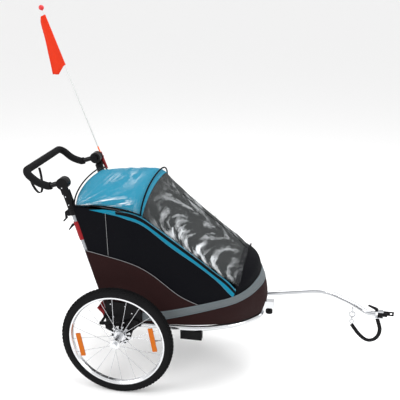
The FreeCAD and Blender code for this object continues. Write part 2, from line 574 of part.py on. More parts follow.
# ---------------------------------------------------------------- folding rear frame
def make_rear_frame():
    """Leaning uprights drawn along +Z from the fold pivot, with latches and clamps."""
    tube = cylinder("upright_outside", "upright_radius", "upright_long - 6", "0", "-upright_half", "6")
    eye = cylinder("upright_eye", "upright_eye", "22", "0", "-upright_half - 11", "0", "y")
    bore = cylinder("upright_bore", "upright_radius - upright_wall", "upright_long",
                    "0", "-upright_half", "upright_eye + 6")
    hole = cylinder("upright_hole", "fold_pin + running_gap", "60", "0", "-upright_half - 30", "0", "y")
    upright = cut("upright", fuse("upright_solid", tube, eye), bore, hole)
    keep("uprights", stand_leaning(both_sides("uprights", upright)))

    span = "(upright_half - upright_radius)"
    bar = cylinder("rear_bar", "cross_radius", "2 * %s + 16" % span, "0", "-%s - 8" % span,
                   "cross_along", "y")
    posts = [cylinder("bar_saddle" + side, "upright_radius", "upright_long", "0",
                      sign + "upright_half", "0") for side, sign in (("_right", "-"), ("_left", ""))]
    keep("rear_cross_tube", stand_leaning(cut("rear_cross_tube", bar, *posts)))

    sleeve = cylinder("sleeve_outside", "upright_radius + latch_wall", "latch_long", "0",
                      "-upright_half", "latch_along")
    bore = cylinder("sleeve_bore", "upright_radius", "latch_long + 2", "0", "-upright_half",
                    "latch_along - 1")
    keep("latch_sleeves", stand_leaning(both_sides("latch_sleeves", cut("latch_sleeve", sleeve, bore))))

    collar = cylinder("collar_outside", "upright_radius + clamp_wall", "clamp_long", "0",
                      "-upright_half", "upright_long - clamp_long")
    lug = box("collar_lug", "14", "22", "clamp_long", "-upright_radius - clamp_wall - 8",
              "-upright_half - 11", "upright_long - clamp_long")
    bore = cylinder("collar_bore", "upright_radius", "clamp_long + 2", "0", "-upright_half",
                    "upright_long - clamp_long - 1")
    clamp = cut("stem_clamp", fuse("clamp_solid", collar, lug), bore)
    keep("stem_clamps", stand_leaning(both_sides("stem_clamps", clamp)))

    latch = [("-1", "3"), ("-1", "8"), ("-4", "11"), ("-9", "12"), ("-31", "-8"), ("-28", "-12"),
             ("-8", "0")]
    lever = plate("latch_blade", "XZ_Plane", latch, "2 * lever_wall",
                  "-upright_radius - latch_wall - joint_gap", "-upright_half + lever_wall",
                  "latch_along + latch_long - 20")
    hooked = [("-1", "1"), ("-1", "6"), ("-5", "9"), ("-11", "8"), ("-18", "-19"), ("-33", "-29"),
              ("-30", "-34"), ("-12", "-24"), ("-6", "-3")]
    clamp_lever = plate("clamp_blade", "XZ_Plane", hooked, "2 * lever_wall",
                        "-upright_radius - clamp_wall - 8 - joint_gap",
                        "-upright_half + lever_wall", "upright_long - clamp_long / 2")
    for node, blade in (("latch_lever", lever), ("clamp_lever", clamp_lever)):
        keep(node + "_right", stand_leaning(group(node + "_right", blade)))
        keep(node + "_left", stand_leaning(group(node + "_left", mirrored(node + "_mirror", blade))))


def make_handle():
    """Stems that slide in the uprights, the bar hinged on them, its foam and its buttons."""
    insert = cylinder("stem_insert", "upright_radius - upright_wall - slide_gap", "stem_insert + 2",
                      "0", "-upright_half", "upright_long - stem_insert")
    sleeve = cylinder("stem_sleeve", "stem_radius", "hub_along - joint_radius - upright_long - 9",
                      "0", "-upright_half", "upright_long + 1")
    cheek_y = "bar_half + bar_radius + joint_gap"
    cheek = cylinder("joint_cheek", "joint_radius", "joint_wall", "0",
                     "-(%s) - joint_wall" % cheek_y, "hub_along", "y")
    neck = box("joint_neck", "30", "joint_wall", "joint_radius + 20", "-15",
               "-(%s) - joint_wall" % cheek_y, "hub_along - joint_radius - 20")
    pin = cylinder("joint_pin", "6", "bar_radius + 3", "0", "-(%s) - 1" % cheek_y, "hub_along", "y")
    stem = fuse("handle_stem", insert, sleeve, cheek, neck, pin)
    keep("handle_stems", stand_leaning(both_sides("handle_stems", stem)))

    lean = math.radians(size("lean"))
    hub_x = -size("fold_back") - size("hub_along") * math.sin(lean)
    hub_z = size("fold_height") + size("hub_along") * math.cos(lean)
    half, reach, rise = size("bar_half"), size("bar_reach"), size("bar_rise")
    arm = [(hub_x - 22, -half, hub_z - 4), (hub_x - 74, -half, hub_z - 21),
           (hub_x - 120, -half, hub_z - 8), (hub_x - reach, -half, hub_z + rise)]
    far = [(x, -y, z) for x, y, z in reversed(arm)]
    bent = bent_tube(arm + far, size("bar_radius"), 2)
    tube = own_shape("bar_bend", bent)
    hubs = []
    for name, sign in (("right", -1), ("left", 1)):
        hub = own_shape("bar_hub_" + name, bar_hub(hub_x, hub_z, sign))
        hubs.append(hub)
    keep("handlebar_tube", stand(fuse("handlebar_tube", tube, *hubs)))
    start = arm[1]
    foam_arm = [(hub_x - 60, -half, hub_z - 17.4), start] + arm[2:]
    foam_arm = foam_arm + [(x, -y, z) for x, y, z in reversed(foam_arm)]
    foam = bent_rod(foam_arm, size("foam_radius"))[0]
    core = bent_rod(arm + far, size("bar_radius"))[0]
    keep("handlebar_foam", stand(own_shape("handlebar_foam", foam.cut(core))))

    face = "(bar_half - bar_radius)"
    button = cylinder("tilt_button", "button_radius", "button_long + 1", "0", "-" + face + " - 1",
                      "hub_along", "y")
    keep("tilt_button_right", stand_leaning(group("tilt_button_right", button)))
    keep("tilt_button_left", stand_leaning(group("tilt_button_left", mirrored("button_left", button))))


def bar_hub(x, z, sign):
    """The disc at one end of the bar, bored for the joint pin and recessed for its button."""
    radius, half = size("bar_radius"), size("bar_half")
    inner = half - radius
    disc = Part.makeCylinder(size("joint_radius"), 2 * radius, V(x, sign * inner, z), V(0, sign, 0))
    bore = Part.makeCylinder(6 + size("running_gap"), 4 * radius, V(x, sign * inner, z), V(0, sign, 0))
    recess = Part.makeCylinder(size("button_radius") + 0.2, 6, V(x, sign * inner, z), V(0, sign, 0))
    return disc.cut(bore).cut(recess)


def make_flag():
    """A whip pole in a socket on the left stem, with a ball tip and a pennant."""
    lean = math.radians(size("flag_lean"))
    along = V(-math.sin(lean), 0, math.cos(lean))
    ball = V(-size("rear_reach") + size("ball_radius"), size("flag_half"), size("flag_top"))
    foot = ball - along * (size("pole_long") + size("ball_radius"))
    floor = foot + along * size("seat_wall")
    pole = Part.makeCylinder(size("pole_radius"), (ball - floor).Length, floor, along)
    pole = pole.fuse(Part.makeSphere(size("ball_radius"), ball, along))
    keep("flag_pole", stand(own_shape("flag_pole", pole)))
    shell = Part.makeCylinder(size("socket_radius"), size("socket_long"), foot, along)
    shell = shell.cut(Part.makeCylinder(size("pole_radius") + size("running_gap"),
                                        size("socket_long"), floor, along))
    side = size("bar_half") + size("bar_radius") + size("joint_gap") + size("joint_wall")
    foot_block = Part.makeBox(10, size("flag_half") - side - size("pole_radius") - 1, 30,
                              V(foot.x - 20, side, foot.z + 36))
    keep("flag_socket", stand(own_shape("flag_socket", shell.fuse(foot_block))))
    top = ball - along * (size("ball_radius") + 22)
    low = top - along * size("pennant_high")
    y = size("flag_half") - size("pole_radius") - 0.5
    flag = [V(top.x, y, top.z), V(top.x + 16, y, top.z - 30),
            V(low.x + size("pennant_long") / 3, y, low.z + 10), V(low.x - 6, y, low.z - 40),
            V(low.x - 12, y, low.z)]
    face = Part.Face(Part.makePolygon(flag + flag[:1]))
    keep("pennant", stand(own_shape("pennant", face.extrude(V(0, -size("cloth_wall"), 0)))))


# ---------------------------------------------------------------- upper rails and hoop
def make_top_frame():
    """Rails from the uprights over the elbow to the nose pivot, the hoop and the nose posts."""
    lean = math.radians(size("lean"))
    rear_x = -size("fold_back") - (size("upright_long") + 10) * math.sin(lean) + 36
    rear_z = size("elbow_z") + 36
    half, nose_half = size("toprail_half"), size("nose_pivot_half")
    nose = (size("nose_pivot_x"), -nose_half, size("nose_pivot_z"))
    points = [(rear_x, -half, rear_z), (size("elbow_x"), -half, size("elbow_z")), nose]
    rail = bent_rod(points, size("toprail_radius"))[0]
    eye = Part.makeCylinder(11, 10, V(nose[0], -nose_half - 5, nose[2]), V(0, 1, 0))
    hole = Part.makeCylinder(4 + size("running_gap"), 30, V(nose[0], -nose_half - 15, nose[2]), V(0, 1, 0))
    rail = own_shape("top_rail", rail.fuse(eye).cut(hole))
    keep("top_rails", stand(both_sides("top_rails", rail)))

    x, level = size("elbow_x") - 27, size("elbow_z") + size("toprail_radius") + 2
    hoop = [(x, -half, level), (x, 2 - half, level + 36), (x, 50 - half, level + 70),
            (x, 125 - half, size("hoop_top"))]
    hoop = hoop + [(x, -y, z) for x, y, z in reversed(hoop)]
    keep("front_hoop", stand(own_shape("front_hoop", bent_rod(hoop, size("hoop_radius"))[0])))

    floor = size("rail_height") + size("rail_radius") + size("floor_wall")
    base = V(size("nose_pivot_x") - 20, -nose_half + 14, floor + 1)
    top = V(size("nose_pivot_x"), -nose_half + 14, size("nose_pivot_z") + 6)
    post = Part.makeCylinder(6, (top - base).Length, base, top - base)
    pin = Part.makeCylinder(4, 20, V(nose[0], -nose_half - 5, nose[2]), V(0, 1, 0))
    post = own_shape("nose_post", post.fuse(pin))
    keep("nose_posts", stand(both_sides("nose_posts", post)))


# ---------------------------------------------------------------- fabric body
def make_fabrics():
    """Skirts, side panels, roof, front window and film cover, as plain closed skins."""
    skirt = [("-rail_rear + 10", "skirt_bottom"), ("400", "skirt_bottom"), ("400", "430"),
             ("240", "459"), ("75", "572"), ("-158", "628")]
    side = plate("skirt", "XZ_Plane", skirt, "skirt_wall", y="-skirt_half")
    eyelet = cylinder("skirt_eyelet", "fold_pin + 2", "20", "-fold_back", "-skirt_half - 10",
                      "fold_height", "y")
    keep("side_skirts", stand(both_sides("side_skirts", cut("skirt_drilled", side, eyelet))))
    panel = [("-138", "630"), ("75", "574.5"), ("240", "461.5"), ("400", "432.5"), ("485", "486"),
             ("413", "560"), ("307", "640"), ("180", "730"), ("elbow_x - 12", "elbow_z + 8"),
             ("-roof_rear - 8", "hem_z - 4")]
    side = plate("panel", "XZ_Plane", panel, "skirt_wall", y="-skirt_half")
    keep("side_panels", stand(both_sides("side_panels", side)))

    half, hem, top, wall = size("roof_half"), size("hem_z"), size("roof_z"), size("roof_wall")
    front, rear = size("roof_front"), -size("roof_rear")
    nose, nose_top = size("nose_pivot_x") + 15, size("nose_top") + 12
    brow = hem - 20
    keep("canopy", stand(own_shape("canopy", skin([
        (rear, half, hem, top, wall), (front - 20, half, hem - 14, top + 8, wall)]))))
    keep("front_cover", stand(own_shape("front_cover", skin([
        (front - 17, half, brow + 4, top + 7, wall),
        (nose, size("nose_pivot_half") - 14, nose_top - 24, nose_top, wall)]))))
    lift = size("film_lift")
    keep("rain_cover", stand(own_shape("rain_cover", skin([
        (rear - 4, half + 4, hem + 4, top + lift, 2), (front + 4, half + 4, hem - 4, top + 3 * lift, 2),
        (nose + 30, size("nose_pivot_half") + 6, nose_top - 10, nose_top + 2 * lift, 2)]))))


def make_nose():
    """A stiff bent skin round the foot well, its lip rising towards the front."""
    front, wall = size("nose_front"), size("nose_wall")
    side, half = size("skirt_half") - 0.5, size("rail_half")
    curve = [(402, side), (480, half - 21), (550, half - 83), (front - 10, half - 165)]
    outer = [V(x, -y, size("skirt_bottom")) for x, y in curve]
    outer += [V(x, y, size("skirt_bottom")) for x, y in reversed(curve)]
    spline = Part.BSplineCurve()
    spline.interpolate(outer)
    inner_curve = [(402, side - wall), (478, half - 21 - wall), (547, half - 84 - wall),
                   (front - 10 - wall, half - 166)]
    inner = [V(x, y, size("skirt_bottom")) for x, y in inner_curve]
    inner += [V(x, -y, size("skirt_bottom")) for x, y in reversed(inner_curve)]
    inside = Part.BSplineCurve()
    inside.interpolate(inner)
    ends = [Part.makeLine(outer[-1], inner[0]), Part.makeLine(inner[-1], outer[0])]
    wire = Part.Wire([spline.toShape(), ends[0], inside.toShape(), ends[1]])
    tall = Part.Face(wire).extrude(V(0, 0, size("nose_top") - size("skirt_bottom")))
    slope = Part.Face(Part.makePolygon([
        V(390, -half * 2, 428), V(size("nose_pivot_x") + 20, -half * 2, size("nose_top")),
        V(front + 90, -half * 2, size("nose_top")), V(front + 90, -half * 2, 700),
        V(390, -half * 2, 700), V(390, -half * 2, 428)])).extrude(V(0, half * 4, 0))
    wide = size("receiver_wide") + 4
    window = Part.makeBox(80, wide, size("receiver_height") + wide / 2 - size("skirt_bottom"),
                          V(front - 60, -wide / 2, size("skirt_bottom")))
    keep("nose_shell", stand(own_shape("nose_shell", tall.cut(slope).cut(window))))


def make_seat():
    """Seat pad on the tray, hung back pad and a five-point harness."""
    level = "rail_height + rail_radius + floor_wall"
    pad = box("seat_pad", "seat_long", "2 * seat_half", "seat_thick", "-40", "-seat_half", level + " + 0.5")
    keep("seat_cushion", stand(group("seat_cushion", pad)))
    back = box("back_pad", "back_thick", "2 * seat_half - 10", "back_long", "upright_radius + 4",
               "-seat_half + 5", "60")
    keep("backrest", stand_leaning(group("backrest", back)))
    front = "upright_radius + 4 + back_thick + 0.5"
    belts = [box("shoulder_belt_" + side, "3", "25", "250", front, y, "150")
             for side, y in (("right", "-70"), ("left", "45"))]
    buckle = box("belt_buckle", "12", "44", "50", front, "-22", "90")
    keep("harness", stand_leaning(group("harness", buckle, *belts)))


# ---------------------------------------------------------------- straps
def cord(node, points, radius):
    """A limp strap drawn as a plain round cord; prints its bends and checks its volume."""
    shape, path, radii = bent_rod(points, radius)
    wanted = math.pi * radius ** 2 * path.Length
    print(node, "length %.0f" % path.Length, "tightest %.1f" % min(radii),
          "volume ratio %.4f" % (shape.Volume / wanted))
    keep(node, stand(own_shape(node, shape)))


def make_straps():
    """Wrist strap on the bar, safety strap at the hitch and the snap hook that ends it."""
    lean = math.radians(size("lean"))
    bar_x = -size("fold_back") - size("hub_along") * math.sin(lean) - size("bar_reach")
    bar_z = size("fold_height") + size("hub_along") * math.cos(lean) + size("bar_rise")
    under = size("foam_radius") + 5.5
    cord("wrist_strap", [
        (bar_x + 4, -62, bar_z - under), (bar_x + 8, -58, bar_z - under - 28),
        (bar_x + 14, -66, bar_z - under - 62), (bar_x + 22, -86, bar_z - under - 92),
        (bar_x + 26, -112, bar_z - under - 102), (bar_x + 24, -140, bar_z - under - 88),
        (bar_x + 16, -158, bar_z - under - 58), (bar_x + 8, -164, bar_z - under - 26),
        (bar_x + 4, -160, bar_z - under)], 5)

    tip, y, z = size("front_reach"), size("hitch_y"), size("hitch_height")
    cord("safety_strap", [
        (tip - 72, y, z - 24), (tip - 62, y, z - 52), (tip - 54, y + 4, z - 84),
        (tip - 60, y + 8, z - 118), (tip - 78, y + 18, z - 146), (tip - 106, y + 28, z - 158),
        (tip - 134, y + 40, z - 146), (tip - 158, y + 50, z - 124), (tip - 180, y + 58, z - 96)], 5)
    hook_x, hook_y = tip - 180, y + 58
    eye = Part.makeTorus(9, 2.5, V(hook_x, hook_y, z - 82), V(0, 1, 0))
    shank = Part.makeCylinder(4, 14, V(hook_x, hook_y, z - 73), V(0, 0, 1))
    clip = Part.makeTorus(13, 3, V(hook_x, hook_y, z - 44), V(0, 1, 0))
    web = Part.makeBox(6, 22, 22, V(hook_x - 3, hook_y - 11, z - 33))
    keep("snap_hook", stand(own_shape("snap_hook", eye.fuse(shank).fuse(clip).fuse(web))))


def check_document():
    for obj in document.Objects:
        bad = [state for state in obj.State if state in ("Invalid", "Error")]
        if bad:
            raise RuntimeError("%s failed: %s" % (obj.Name, obj.State))
    missing = sorted(set(NODES) - set(parts)) + sorted(set(parts) - set(NODES))
    if missing:
        raise RuntimeError("nodes that do not match: %s" % missing)
    for node in NODES:
        shape = parts[node].Shape
        if shape.isNull() or not shape.isValid() or not shape.Solids:
            raise RuntimeError("%s has no valid solid" % node)


def write_parts():
    os.makedirs("parts", exist_ok=True)
    for node in NODES:
        parts[node].Shape.exportStep("parts/%s.step" % node)
        print("%-22s solids %2d volume %9.0f" % (node, len(parts[node].Shape.Solids),
                                                 parts[node].Shape.Volume))


for build in (make_base_frame, make_floor, make_suspension, make_wheels, make_parking_brake,
              make_sockets, make_drawbar, make_rear_frame, make_handle, make_flag, make_top_frame,
              make_fabrics, make_nose, make_seat, make_straps):
    build()
document.recompute()
check_document()
write_parts()
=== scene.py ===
"""Child bicycle trailer: cloth, film, rubber and metal put together on its hinged frame."""
import math

import bmesh
import bpy
from mathutils import Matrix, Vector, noise


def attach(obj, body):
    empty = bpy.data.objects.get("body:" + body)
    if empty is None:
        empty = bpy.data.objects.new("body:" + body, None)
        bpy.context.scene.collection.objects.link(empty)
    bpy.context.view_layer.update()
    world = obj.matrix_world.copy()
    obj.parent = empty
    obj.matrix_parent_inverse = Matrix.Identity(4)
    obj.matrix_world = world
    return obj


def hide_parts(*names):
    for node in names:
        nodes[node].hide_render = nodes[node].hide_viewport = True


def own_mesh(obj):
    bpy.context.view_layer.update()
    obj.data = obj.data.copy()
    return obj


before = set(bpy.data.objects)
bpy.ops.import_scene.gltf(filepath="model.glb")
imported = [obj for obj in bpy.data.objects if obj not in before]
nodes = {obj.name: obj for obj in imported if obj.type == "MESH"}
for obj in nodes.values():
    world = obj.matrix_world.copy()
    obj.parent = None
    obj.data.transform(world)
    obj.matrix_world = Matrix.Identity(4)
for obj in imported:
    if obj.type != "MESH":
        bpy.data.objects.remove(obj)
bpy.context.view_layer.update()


# ------------------------------------------------------------------ studio
# A plain pale floor under even white light, with one large soft lamp on each side and one
# above, and the camera at the height of a standing person beside the right wheel.
world = bpy.data.worlds.new("studio")
bpy.context.scene.world = world
world.use_nodes = True
world.node_tree.nodes["Background"].inputs["Color"].default_value = (1.0, 1.0, 1.0, 1.0)
world.node_tree.nodes["Background"].inputs["Strength"].default_value = 0.95
bpy.context.scene.view_settings.view_transform = "Standard"


def plain_material(name, **plain):
    """A material with one Principled shader; its plain sockets are set directly."""
    material = bpy.data.materials.new(name)
    material.use_nodes = True
    for socket, value in plain.items():
        shader = material.node_tree.nodes["Principled BSDF"]
        shader.inputs[socket.replace("_", " ")].default_value = value
    return material


floor_mesh = bpy.data.meshes.new("floor")
floor_mesh.from_pydata([(-150, -150, 0), (150, -150, 0), (150, 150, 0), (-150, 150, 0)], [], [(0, 1, 2, 3)])
floor = bpy.data.objects.new("floor", floor_mesh)
bpy.context.collection.objects.link(floor)
floor_mesh.materials.append(plain_material("floor_paper", Base_Color=(0.93, 0.93, 0.93, 1), Roughness=0.9))

camera = bpy.data.objects.new("camera", bpy.data.cameras.new("camera"))
bpy.context.collection.objects.link(camera)
camera.data.lens = 58.5
camera.location = (0.458, -2.665, 1.752)
look_at = Vector((-0.044, 0.0, 0.809))
camera.rotation_euler = (look_at - camera.location).to_track_quat("-Z", "Y").to_euler()
bpy.context.scene.camera = camera

for name, place, side, power in (
    ("lamp_left", (-2.6, -2.2, 2.6), 1.8, 70),
    ("lamp_right", (2.8, -1.6, 2.2), 1.4, 45),
    ("lamp_top", (0.3, 0.6, 3.4), 2.2, 60),
):
    lamp = bpy.data.objects.new(name, bpy.data.lights.new(name, "AREA"))
    bpy.context.collection.objects.link(lamp)
    lamp.data.size = side
    lamp.data.energy = power
    lamp.location = place
    lamp.rotation_euler = (Vector((-0.2, 0, 0.6)) - lamp.location).to_track_quat("-Z", "Y").to_euler()


# ------------------------------------------------------------------ wrist strap and safety strap
# Two lengths of black polyester webbing, flat woven and limp. The wrist strap hangs in a loop
# from the push bar; the safety strap is sewn to the hitch and ends at a steel snap hook.
def at(x, y, z):
    """A place in the row frame from millimetres off the ground point under the axle."""
    return Vector((x / 1000 - 0.351, y / 1000, z / 1000))


def shader_group(name, inputs, outputs):
    """An empty shader node group with named sockets: its tree, input node and output node."""
    tree = bpy.data.node_groups.new(name, "ShaderNodeTree")
    for socket, kind, value in inputs:
        made = tree.interface.new_socket(socket, in_out="INPUT", socket_type="NodeSocket" + kind)
        made.default_value = value
    for socket, kind in outputs:
        tree.interface.new_socket(socket, in_out="OUTPUT", socket_type="NodeSocket" + kind)
    return tree, tree.nodes.new("NodeGroupInput"), tree.nodes.new("NodeGroupOutput")


def node(tree, kind, links=(), **settings):
    """Adds a node; settings are properties or plain inputs, links go from outputs to inputs."""
    made = tree.nodes.new(kind)
    for key, value in settings.items():
        if hasattr(made, key):
            setattr(made, key, value)
        else:
            made.inputs[key.replace("_", " ")].default_value = value
    for source, socket in links:
        tree.links.new(source, made.inputs[socket])
    return made


# Threads crossing over and under, for every woven cloth: its colour with painted shade where the threads and the folds
# are low, its sheen and relief.
weave, given, result = shader_group(
    "weave",
    [("Color", "Color", (0.1, 0.1, 0.1, 1)), ("Threads", "Float", 900.0), ("Depth", "Float", 0.4),
     ("Contrast", "Float", 0.25), ("Creases", "Float", 9.0), ("Crease Depth", "Float", 0.3)],
    [("Color", "Color"), ("Roughness", "Float"), ("Normal", "Vector")])
spot = node(weave, "ShaderNodeTexCoord").outputs["Object"]
warp = node(weave, "ShaderNodeTexWave", [(spot, "Vector"), (given.outputs["Threads"], "Scale")],
            bands_direction="Z", Distortion=0.6)
weft = node(weave, "ShaderNodeTexWave", [(spot, "Vector"), (given.outputs["Threads"], "Scale")],
            bands_direction="X", Distortion=0.6)
cross = node(weave, "ShaderNodeMath", [(warp.outputs["Fac"], 0), (weft.outputs["Fac"], 1)],
             operation="MULTIPLY")
cloud = node(weave, "ShaderNodeTexNoise", [(spot, "Vector"), (given.outputs["Creases"], "Scale")],
             Detail=5.0, Roughness=0.6)
fold = node(weave, "ShaderNodeMath", [(cloud.outputs["Fac"], 0), (given.outputs["Crease Depth"], 1)],
            operation="MULTIPLY")
shade = node(weave, "ShaderNodeMath", [(cross.outputs[0], 0), (cloud.outputs["Fac"], 1)], operation="ADD")
# Painted shade: the colour is darkened where the weave and the crease cloud are low, in the hollows of the threads and
# the folds.
dark = node(weave, "ShaderNodeMapRange", [(shade.outputs[0], "Value")], From_Min=0.3, From_Max=1.4,
            To_Min=1.0, To_Max=0.0)
amount = node(weave, "ShaderNodeMath", [(dark.outputs[0], 0), (given.outputs["Contrast"], 1)],
              operation="MULTIPLY", use_clamp=True)
fold_shaded_color = node(weave, "ShaderNodeMix", [(amount.outputs[0], "Factor"), (given.outputs["Color"], 6)],
            data_type="RGBA")
fold_shaded_color.inputs[7].default_value = (0.0, 0.0, 0.0, 1.0)
ridges = node(weave, "ShaderNodeBump", [(cross.outputs[0], "Height"), (given.outputs["Depth"], "Strength")],
              Distance=0.0004)
relief = node(weave, "ShaderNodeBump", [(fold.outputs[0], "Height"), (ridges.outputs[0], "Normal")],
              Strength=0.6, Distance=0.012)
rough = node(weave, "ShaderNodeMapRange", [(cloud.outputs["Fac"], "Value")], To_Min=0.62, To_Max=0.9)
weave.links.new(fold_shaded_color.outputs[2], result.inputs["Color"])
weave.links.new(rough.outputs[0], result.inputs["Roughness"])
weave.links.new(relief.outputs[0], result.inputs["Normal"])


def with_group(name, group, values, **plain):
    """A material whose Principled shader takes every output of one shader group."""
    material = plain_material(name, **plain)
    tree = material.node_tree
    placed = node(tree, "ShaderNodeGroup", node_tree=group)
    for socket, value in values.items():
        placed.inputs[socket.replace("_", " ")].default_value = value
    shader = tree.nodes["Principled BSDF"]
    for out in placed.outputs:
        socket = {"Color": "Base Color"}.get(out.name, out.name)
        tree.links.new(out, shader.inputs[socket])
    return material


def settle(piece, material, body, stands_for=(), smooth=True):
    """Gives a finished piece its material, its body and the CAD nodes that it stands for."""
    if material and piece.data.materials[:] != [material]:
        piece.data.materials.clear()
        piece.data.materials.append(material)
    if smooth and piece.type == "MESH":
        piece.data.polygons.foreach_set("use_smooth", [True] * len(piece.data.polygons))
    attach(piece, body)
    if stands_for:
        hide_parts(*stands_for)
    return piece


def smooth_line(points, fine=16):
    """The points of a NURBS spline through the given control points, in order."""
    curve = bpy.data.curves.new("route", "CURVE")
    curve.dimensions = "3D"
    curve.resolution_u = fine
    spline = curve.splines.new("NURBS")
    spline.points.add(len(points) - 1)
    for point, place in zip(spline.points, points):
        point.co = (*place, 1.0)
    spline.order_u = 3
    spline.use_endpoint_u = True
    holder = bpy.data.objects.new("route", curve)
    bpy.context.collection.objects.link(holder)
    bpy.context.view_layer.update()
    line = bpy.data.meshes.new_from_object(holder)
    places = [v.co.copy() for v in line.vertices]
    bpy.data.objects.remove(holder)
    bpy.data.meshes.remove(line)
    return places


def ribbon(name, line, across, width, wall):
    """A flat strap along a line, its width near one direction or upright to the line, edges rounded."""
    section = [(-0.5, 0.0), (-0.47, 0.42), (-0.3, 0.5), (0.3, 0.5), (0.47, 0.42), (0.5, 0.0),
               (0.47, -0.42), (0.3, -0.5), (-0.3, -0.5), (-0.47, -0.42)]
    mesh = bmesh.new()
    loops, gone, uv = [], 0.0, mesh.loops.layers.uv.new("UVMap")
    runs = []
    for i, place in enumerate(line):
        ahead = (line[min(i + 1, len(line) - 1)] - line[max(i - 1, 0)]).normalized()
        wide = Vector(across) if across else ahead.cross(Vector((0, 1, 0)))
        side = (wide - ahead * ahead.dot(wide)).normalized()
        up = ahead.cross(side)
        loops.append([mesh.verts.new(place + side * (a * width) + up * (b * wall)) for a, b in section])
        gone += (place - line[i - 1]).length if i else 0.0
        runs.append(gone)
    count = len(section)
    for i in range(len(loops) - 1):
        for k in range(count):
            m = (k + 1) % count
            face = mesh.faces.new((loops[i][k], loops[i][m], loops[i + 1][m], loops[i + 1][k]))
            marks = ((section[k][0], runs[i]), (section[m][0], runs[i]),
                     (section[m][0], runs[i + 1]), (section[k][0], runs[i + 1]))
            for corner, (a, b) in zip(face.loops, marks):
                corner[uv].uv = (a * width * 100, b * 100)
    mesh.faces.new(loops[0][::-1])
    mesh.faces.new(loops[-1])
    bmesh.ops.recalc_face_normals(mesh, faces=mesh.faces)
    data = bpy.data.meshes.new(name)
    mesh.to_mesh(data)
    mesh.free()
    made = bpy.data.objects.new(name, data)
    bpy.context.collection.objects.link(made)
    return made


webbing = plain_material("black_webbing", Roughness=0.72, Specular_IOR_Level=0.1)
tree = webbing.node_tree
along = node(tree, "ShaderNodeUVMap", uv_map="UVMap")
ribs = node(tree, "ShaderNodeTexWave", [(along.outputs[0], "Vector")], Scale=2.6, Distortion=0.4,
            bands_direction="DIAGONAL")
ribs_back = node(tree, "ShaderNodeTexNoise", [(along.outputs[0], "Vector")], Scale=6.0, Detail=3.0)
shades = node(tree, "ShaderNodeMix", [(ribs.outputs["Fac"], "Factor")], data_type="RGBA")
shades.inputs[6].default_value = (0.002, 0.002, 0.0025, 1)
shades.inputs[7].default_value = (0.012, 0.012, 0.013, 1)
both = node(tree, "ShaderNodeMath", [(ribs.outputs["Fac"], 0), (ribs_back.outputs["Fac"], 1)], operation="ADD")
bump = node(tree, "ShaderNodeBump", [(both.outputs[0], "Height")], Strength=0.7, Distance=0.0006)
tree.links.new(shades.outputs[2], tree.nodes["Principled BSDF"].inputs["Base Color"])
tree.links.new(bump.outputs[0], tree.nodes["Principled BSDF"].inputs["Normal"])

wrist_route = [
    (-0.76195, -0.062, 0.93663), (-0.75795, -0.058, 0.90863), (-0.75195, -0.066, 0.87463),
    (-0.74395, -0.086, 0.84463), (-0.73995, -0.112, 0.83463), (-0.74195, -0.140, 0.84863),
    (-0.74995, -0.158, 0.87863), (-0.75795, -0.164, 0.91063), (-0.76195, -0.160, 0.93663)]
wrist_line = smooth_line([Vector(p) for p in wrist_route])
wrist = ribbon("wrist_strap_webbing", wrist_line, (1, 0.05, 0.3), 0.012, 0.0022)
settle(wrist, webbing, "handlebar", ["wrist_strap"])

safety_route = [
    (0.767, 0.064, 0.266), (0.777, 0.064, 0.238), (0.785, 0.068, 0.206), (0.779, 0.072, 0.172),
    (0.761, 0.082, 0.144), (0.733, 0.092, 0.132), (0.705, 0.104, 0.144), (0.681, 0.114, 0.166),
    (0.659, 0.122, 0.194)]
safety_line = smooth_line([Vector(p) for p in safety_route])
safety = ribbon("safety_strap_webbing", safety_line, None, 0.018, 0.0026)
settle(safety, webbing, "drawbar", ["safety_strap"])


# ------------------------------------------------------------------ bare metal of the frame
# Bent aluminium tubes, polished at the base and satin at the uprights, plated steel at the
# drawbar and spun hubs: each keeps its drawn shape and takes a brushed, slightly worn face.
metal_face, given, result = shader_group(
    "metal_face",
    [("Color", "Color", (0.8, 0.8, 0.8, 1)), ("Smooth", "Float", 0.15), ("Dull", "Float", 0.4),
     ("Grain", "Float", 60.0), ("Relief", "Float", 0.15)],
    [("Color", "Color"), ("Roughness", "Float"), ("Normal", "Vector")])
spot = node(metal_face, "ShaderNodeTexCoord").outputs["Object"]
stretched = node(metal_face, "ShaderNodeMapping", [(spot, "Vector")], Scale=(0.25, 1.0, 1.0))
brushed = node(metal_face, "ShaderNodeTexNoise", [(stretched.outputs[0], "Vector"), (given.outputs["Grain"], "Scale")],
               Detail=6.0, Roughness=0.7)
stains = node(metal_face, "ShaderNodeTexNoise", [(spot, "Vector")], Scale=14.0, Detail=4.0)
mixed = node(metal_face, "ShaderNodeMath", [(brushed.outputs["Fac"], 0), (stains.outputs["Fac"], 1)],
             operation="MULTIPLY")
level = node(metal_face, "ShaderNodeMapRange",
             [(mixed.outputs[0], "Value"), (given.outputs["Smooth"], "To Min"), (given.outputs["Dull"], "To Max")],
             From_Min=0.12, From_Max=0.42)
darker = node(metal_face, "ShaderNodeHueSaturation", [(given.outputs["Color"], "Color")], Value=0.72)
worn = node(metal_face, "ShaderNodeMix",
            [(mixed.outputs[0], "Factor"), (given.outputs["Color"], 6), (darker.outputs[0], 7)], data_type="RGBA")
scratch = node(metal_face, "ShaderNodeBump", [(brushed.outputs["Fac"], "Height"), (given.outputs["Relief"], "Strength")],
               Distance=0.0004)
metal_face.links.new(worn.outputs[2], result.inputs["Color"])
metal_face.links.new(level.outputs[0], result.inputs["Roughness"])
metal_face.links.new(scratch.outputs[0], result.inputs["Normal"])


def dress(material, *names):
    """Puts a material on frame pieces that keep their drawn shape."""
    for name in names:
        nodes[name].data.materials.clear()
        nodes[name].data.materials.append(material)


